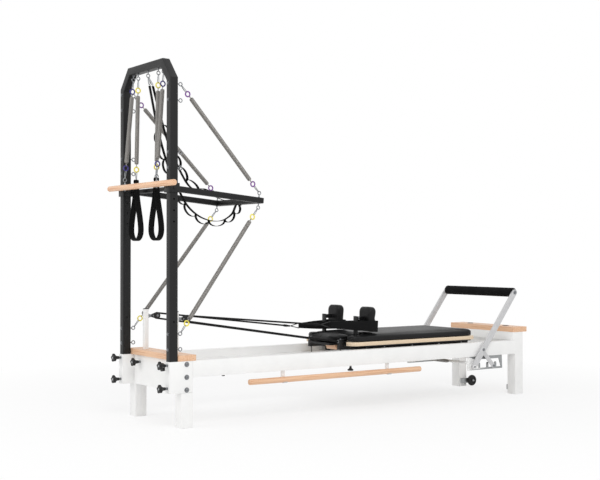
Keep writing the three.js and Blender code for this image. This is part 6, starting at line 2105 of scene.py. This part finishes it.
def floor_material():
    """Seamless studio paper: pale fibre that the lamps light, and white far from the object."""
    material, tree, principled = start_material("studio_paper", IOR=1.4, Roughness=0.9)
    tree.nodes.remove(next(n for n in tree.nodes if n.type == "OUTPUT_MATERIAL"))
    place = position(tree)
    colour = look().colours.floor
    fibre = noise(tree, place, 40, 4)
    tint = ramp(tree, fibre, [(0.3, shade(colour, 0.99)), (0.7, shade(colour, 1.01))])
    paint(tree, principled, tint)
    white = add_node(tree, "ShaderNodeEmission", {"Color": (1, 1, 1, 1), "Strength": 1.0})
    seen = seen_rays(tree)
    coordinates = add_node(tree, "ShaderNodeTexCoord")
    reach = add_node(
        tree, "ShaderNodeVectorMath", {0: coordinates.outputs["Object"]}, operation="LENGTH"
    )
    far = add_node(
        tree,
        "ShaderNodeMapRange",
        {
            "Value": reach.outputs["Value"],
            "From Min": FLOOR_FADE[0],
            "From Max": FLOOR_FADE[1],
            "To Min": FLOOR_LIT_SHARE,
            "To Max": 1.0,
        },
    )
    share = maths(tree, "MULTIPLY", seen, far.outputs["Result"])
    mix = add_node(
        tree,
        "ShaderNodeMixShader",
        {0: share, 1: principled.outputs["BSDF"], 2: white.outputs["Emission"]},
    )
    add_node(tree, "ShaderNodeOutputMaterial", {"Surface": mix.outputs["Shader"]})
    return material


def build_floor():
    """A wide plain floor that is part of the stage."""
    mesh = bpy.data.meshes.new("studio_floor")
    work = bmesh.new()
    bmesh.ops.create_grid(work, x_segments=24, y_segments=24, size=FLOOR_HALF)
    work.to_mesh(mesh)
    work.free()
    mesh.materials.append(floor_material())
    floor = bpy.data.objects.new("studio_floor", mesh)
    bpy.context.scene.collection.objects.link(floor)


def build_lamp(name, place, target, wide, power):
    """A rectangular lamp aimed at a point."""
    data = bpy.data.lights.new(name, "AREA")
    data.shape = "RECTANGLE"
    data.size, data.size_y = wide
    data.energy = power
    lamp = bpy.data.objects.new(name, data)
    lamp.location = place
    aim = Vector(target) - Vector(place)
    lamp.rotation_euler = aim.to_track_quat("-Z", "Y").to_euler()
    bpy.context.scene.collection.objects.link(lamp)


def build_world():
    """Soft light from all round, seen as plain white."""
    world = bpy.data.worlds.new("studio_surround")
    bpy.context.scene.world = world
    world.use_nodes = True
    tree = world.node_tree
    tree.nodes.clear()
    seen = seen_rays(tree)
    white = (1, 1, 1, 1)
    soft = add_node(tree, "ShaderNodeBackground", {"Color": white, "Strength": look().stage.sky})
    plain = add_node(tree, "ShaderNodeBackground", {"Color": white, "Strength": 1.0})
    mix = add_node(
        tree,
        "ShaderNodeMixShader",
        {0: seen, 1: soft.outputs["Background"], 2: plain.outputs["Background"]},
    )
    add_node(tree, "ShaderNodeOutputWorld", {"Surface": mix.outputs["Shader"]})


def build_camera():
    """The view of the photograph."""
    data = bpy.data.cameras.new("photo_view")
    data.lens = look().stage.lens
    data.sensor_width = SENSOR
    data.sensor_fit = "HORIZONTAL"
    camera = bpy.data.objects.new("photo_view", data)
    camera.location = CAMERA_PLACE
    camera.rotation_euler = [math.radians(a) for a in CAMERA_TURN]
    bpy.context.scene.collection.objects.link(camera)
    bpy.context.scene.camera = camera


# Operators, one for each group of pieces, in the order in which they are built

GROUPS = (
    ReformerColours,
    ReformerEdges,
    ReformerSprings,
    ReformerCushions,
    ReformerStage,
    ReformerLook,
)


class REFORMER_OT_stage(Operator):
    """Camera, floor, lamps and surround"""

    bl_idname = "reformer.stage"
    bl_label = "Stage"

    def execute(self, context):
        settings = look().stage
        build_camera()
        build_floor()
        build_world()
        build_lamp("key", (-2.2, -5.2, 5.4), (0, 0, 0.7), (4.2, 3.2), settings.key)
        build_lamp("fill", (-6.0, 1.0, 3.2), (0, 0, 0.9), (3.0, 3.0), settings.fill)
        context.scene.view_settings.view_transform = "Standard"
        return {"FINISHED"}


class REFORMER_OT_base(Operator):
    """Rails, end frames, sockets and platforms"""

    bl_idname = "reformer.base"
    bl_label = "Base"

    def execute(self, context):
        build_base()
        build_platform_grips()
        return {"FINISHED"}


class REFORMER_OT_tower(Operator):
    """Tower, its eyebolts, the yoke and the push-through bar"""

    bl_idname = "reformer.tower"
    bl_label = "Tower"

    def execute(self, context):
        build_tower()
        build_push_bar()
        return {"FINISHED"}


class REFORMER_OT_springs(Operator):
    """Springs of the tower and of the carriage"""

    bl_idname = "reformer.springs"
    bl_label = "Springs"

    def execute(self, context):
        build_bar_springs()
        build_pull_springs()
        build_carriage_springs()
        return {"FINISHED"}


class REFORMER_OT_loops(Operator):
    """Roll-down bar, hand loops and the two straps of loops"""

    bl_idname = "reformer.loops"
    bl_label = "Bar and loops"

    def execute(self, context):
        build_roll_bar()
        build_hand_loops()
        build_loop_straps()
        return {"FINISHED"}


class REFORMER_OT_risers(Operator):
    """Risers with their pulleys and ropes, and all the star knobs"""

    bl_idname = "reformer.risers"
    bl_label = "Risers and ropes"

    def execute(self, context):
        build_risers()
        build_knobs()
        return {"FINISHED"}


class REFORMER_OT_carriage(Operator):
    """Deck, cushions, shoulder rests, hand straps and rollers"""

    bl_idname = "reformer.carriage"
    bl_label = "Carriage"

    def execute(self, context):
        build_carriage()
        build_rollers()
        build_carriage_cushion()
        build_headrest()
        build_shoulder_rests()
        return {"FINISHED"}


class REFORMER_OT_footbar(Operator):
    """Footbar with its foam sleeve, struts and cradle"""

    bl_idname = "reformer.footbar"
    bl_label = "Footbar"

    def execute(self, context):
        build_footbar()
        return {"FINISHED"}


class REFORMER_OT_loose(Operator):
    """Transport wheels and the stored pole"""

    bl_idname = "reformer.loose"
    bl_label = "Wheels and pole"

    def execute(self, context):
        build_wheels()
        build_pole()
        return {"FINISHED"}


STEPS = (
    REFORMER_OT_stage,
    REFORMER_OT_base,
    REFORMER_OT_tower,
    REFORMER_OT_springs,
    REFORMER_OT_loops,
    REFORMER_OT_risers,
    REFORMER_OT_carriage,
    REFORMER_OT_footbar,
    REFORMER_OT_loose,
)


class REFORMER_PT_build(Panel):
    """Lists the steps and their settings"""

    bl_idname = "REFORMER_PT_build"
    bl_label = "Reformer"
    bl_space_type = "VIEW_3D"
    bl_region_type = "UI"
    bl_category = "Reformer"

    def draw(self, context):
        for step in STEPS:
            self.layout.operator(step.bl_idname)
        for group in ("colours", "edges", "springs", "cushions", "stage"):
            settings = getattr(context.scene.reformer_look, group)
            box = self.layout.box()
            for name in settings.__annotations__:
                box.prop(settings, name)


def register():
    """Makes the settings, the operators and the panel known to Blender."""
    for kind in GROUPS + STEPS + (REFORMER_PT_build,):
        bpy.utils.register_class(kind)
    bpy.types.Scene.reformer_look = PointerProperty(type=ReformerLook)


def unregister():
    """Takes them away again."""
    del bpy.types.Scene.reformer_look
    for kind in reversed(GROUPS + STEPS + (REFORMER_PT_build,)):
        bpy.utils.unregister_class(kind)


def main():
    """Builds everything in order."""
    register()
    for step in STEPS:
        group, name = step.bl_idname.split(".")
        getattr(getattr(bpy.ops, group), name)()


if __name__ == "__main__":
    main()
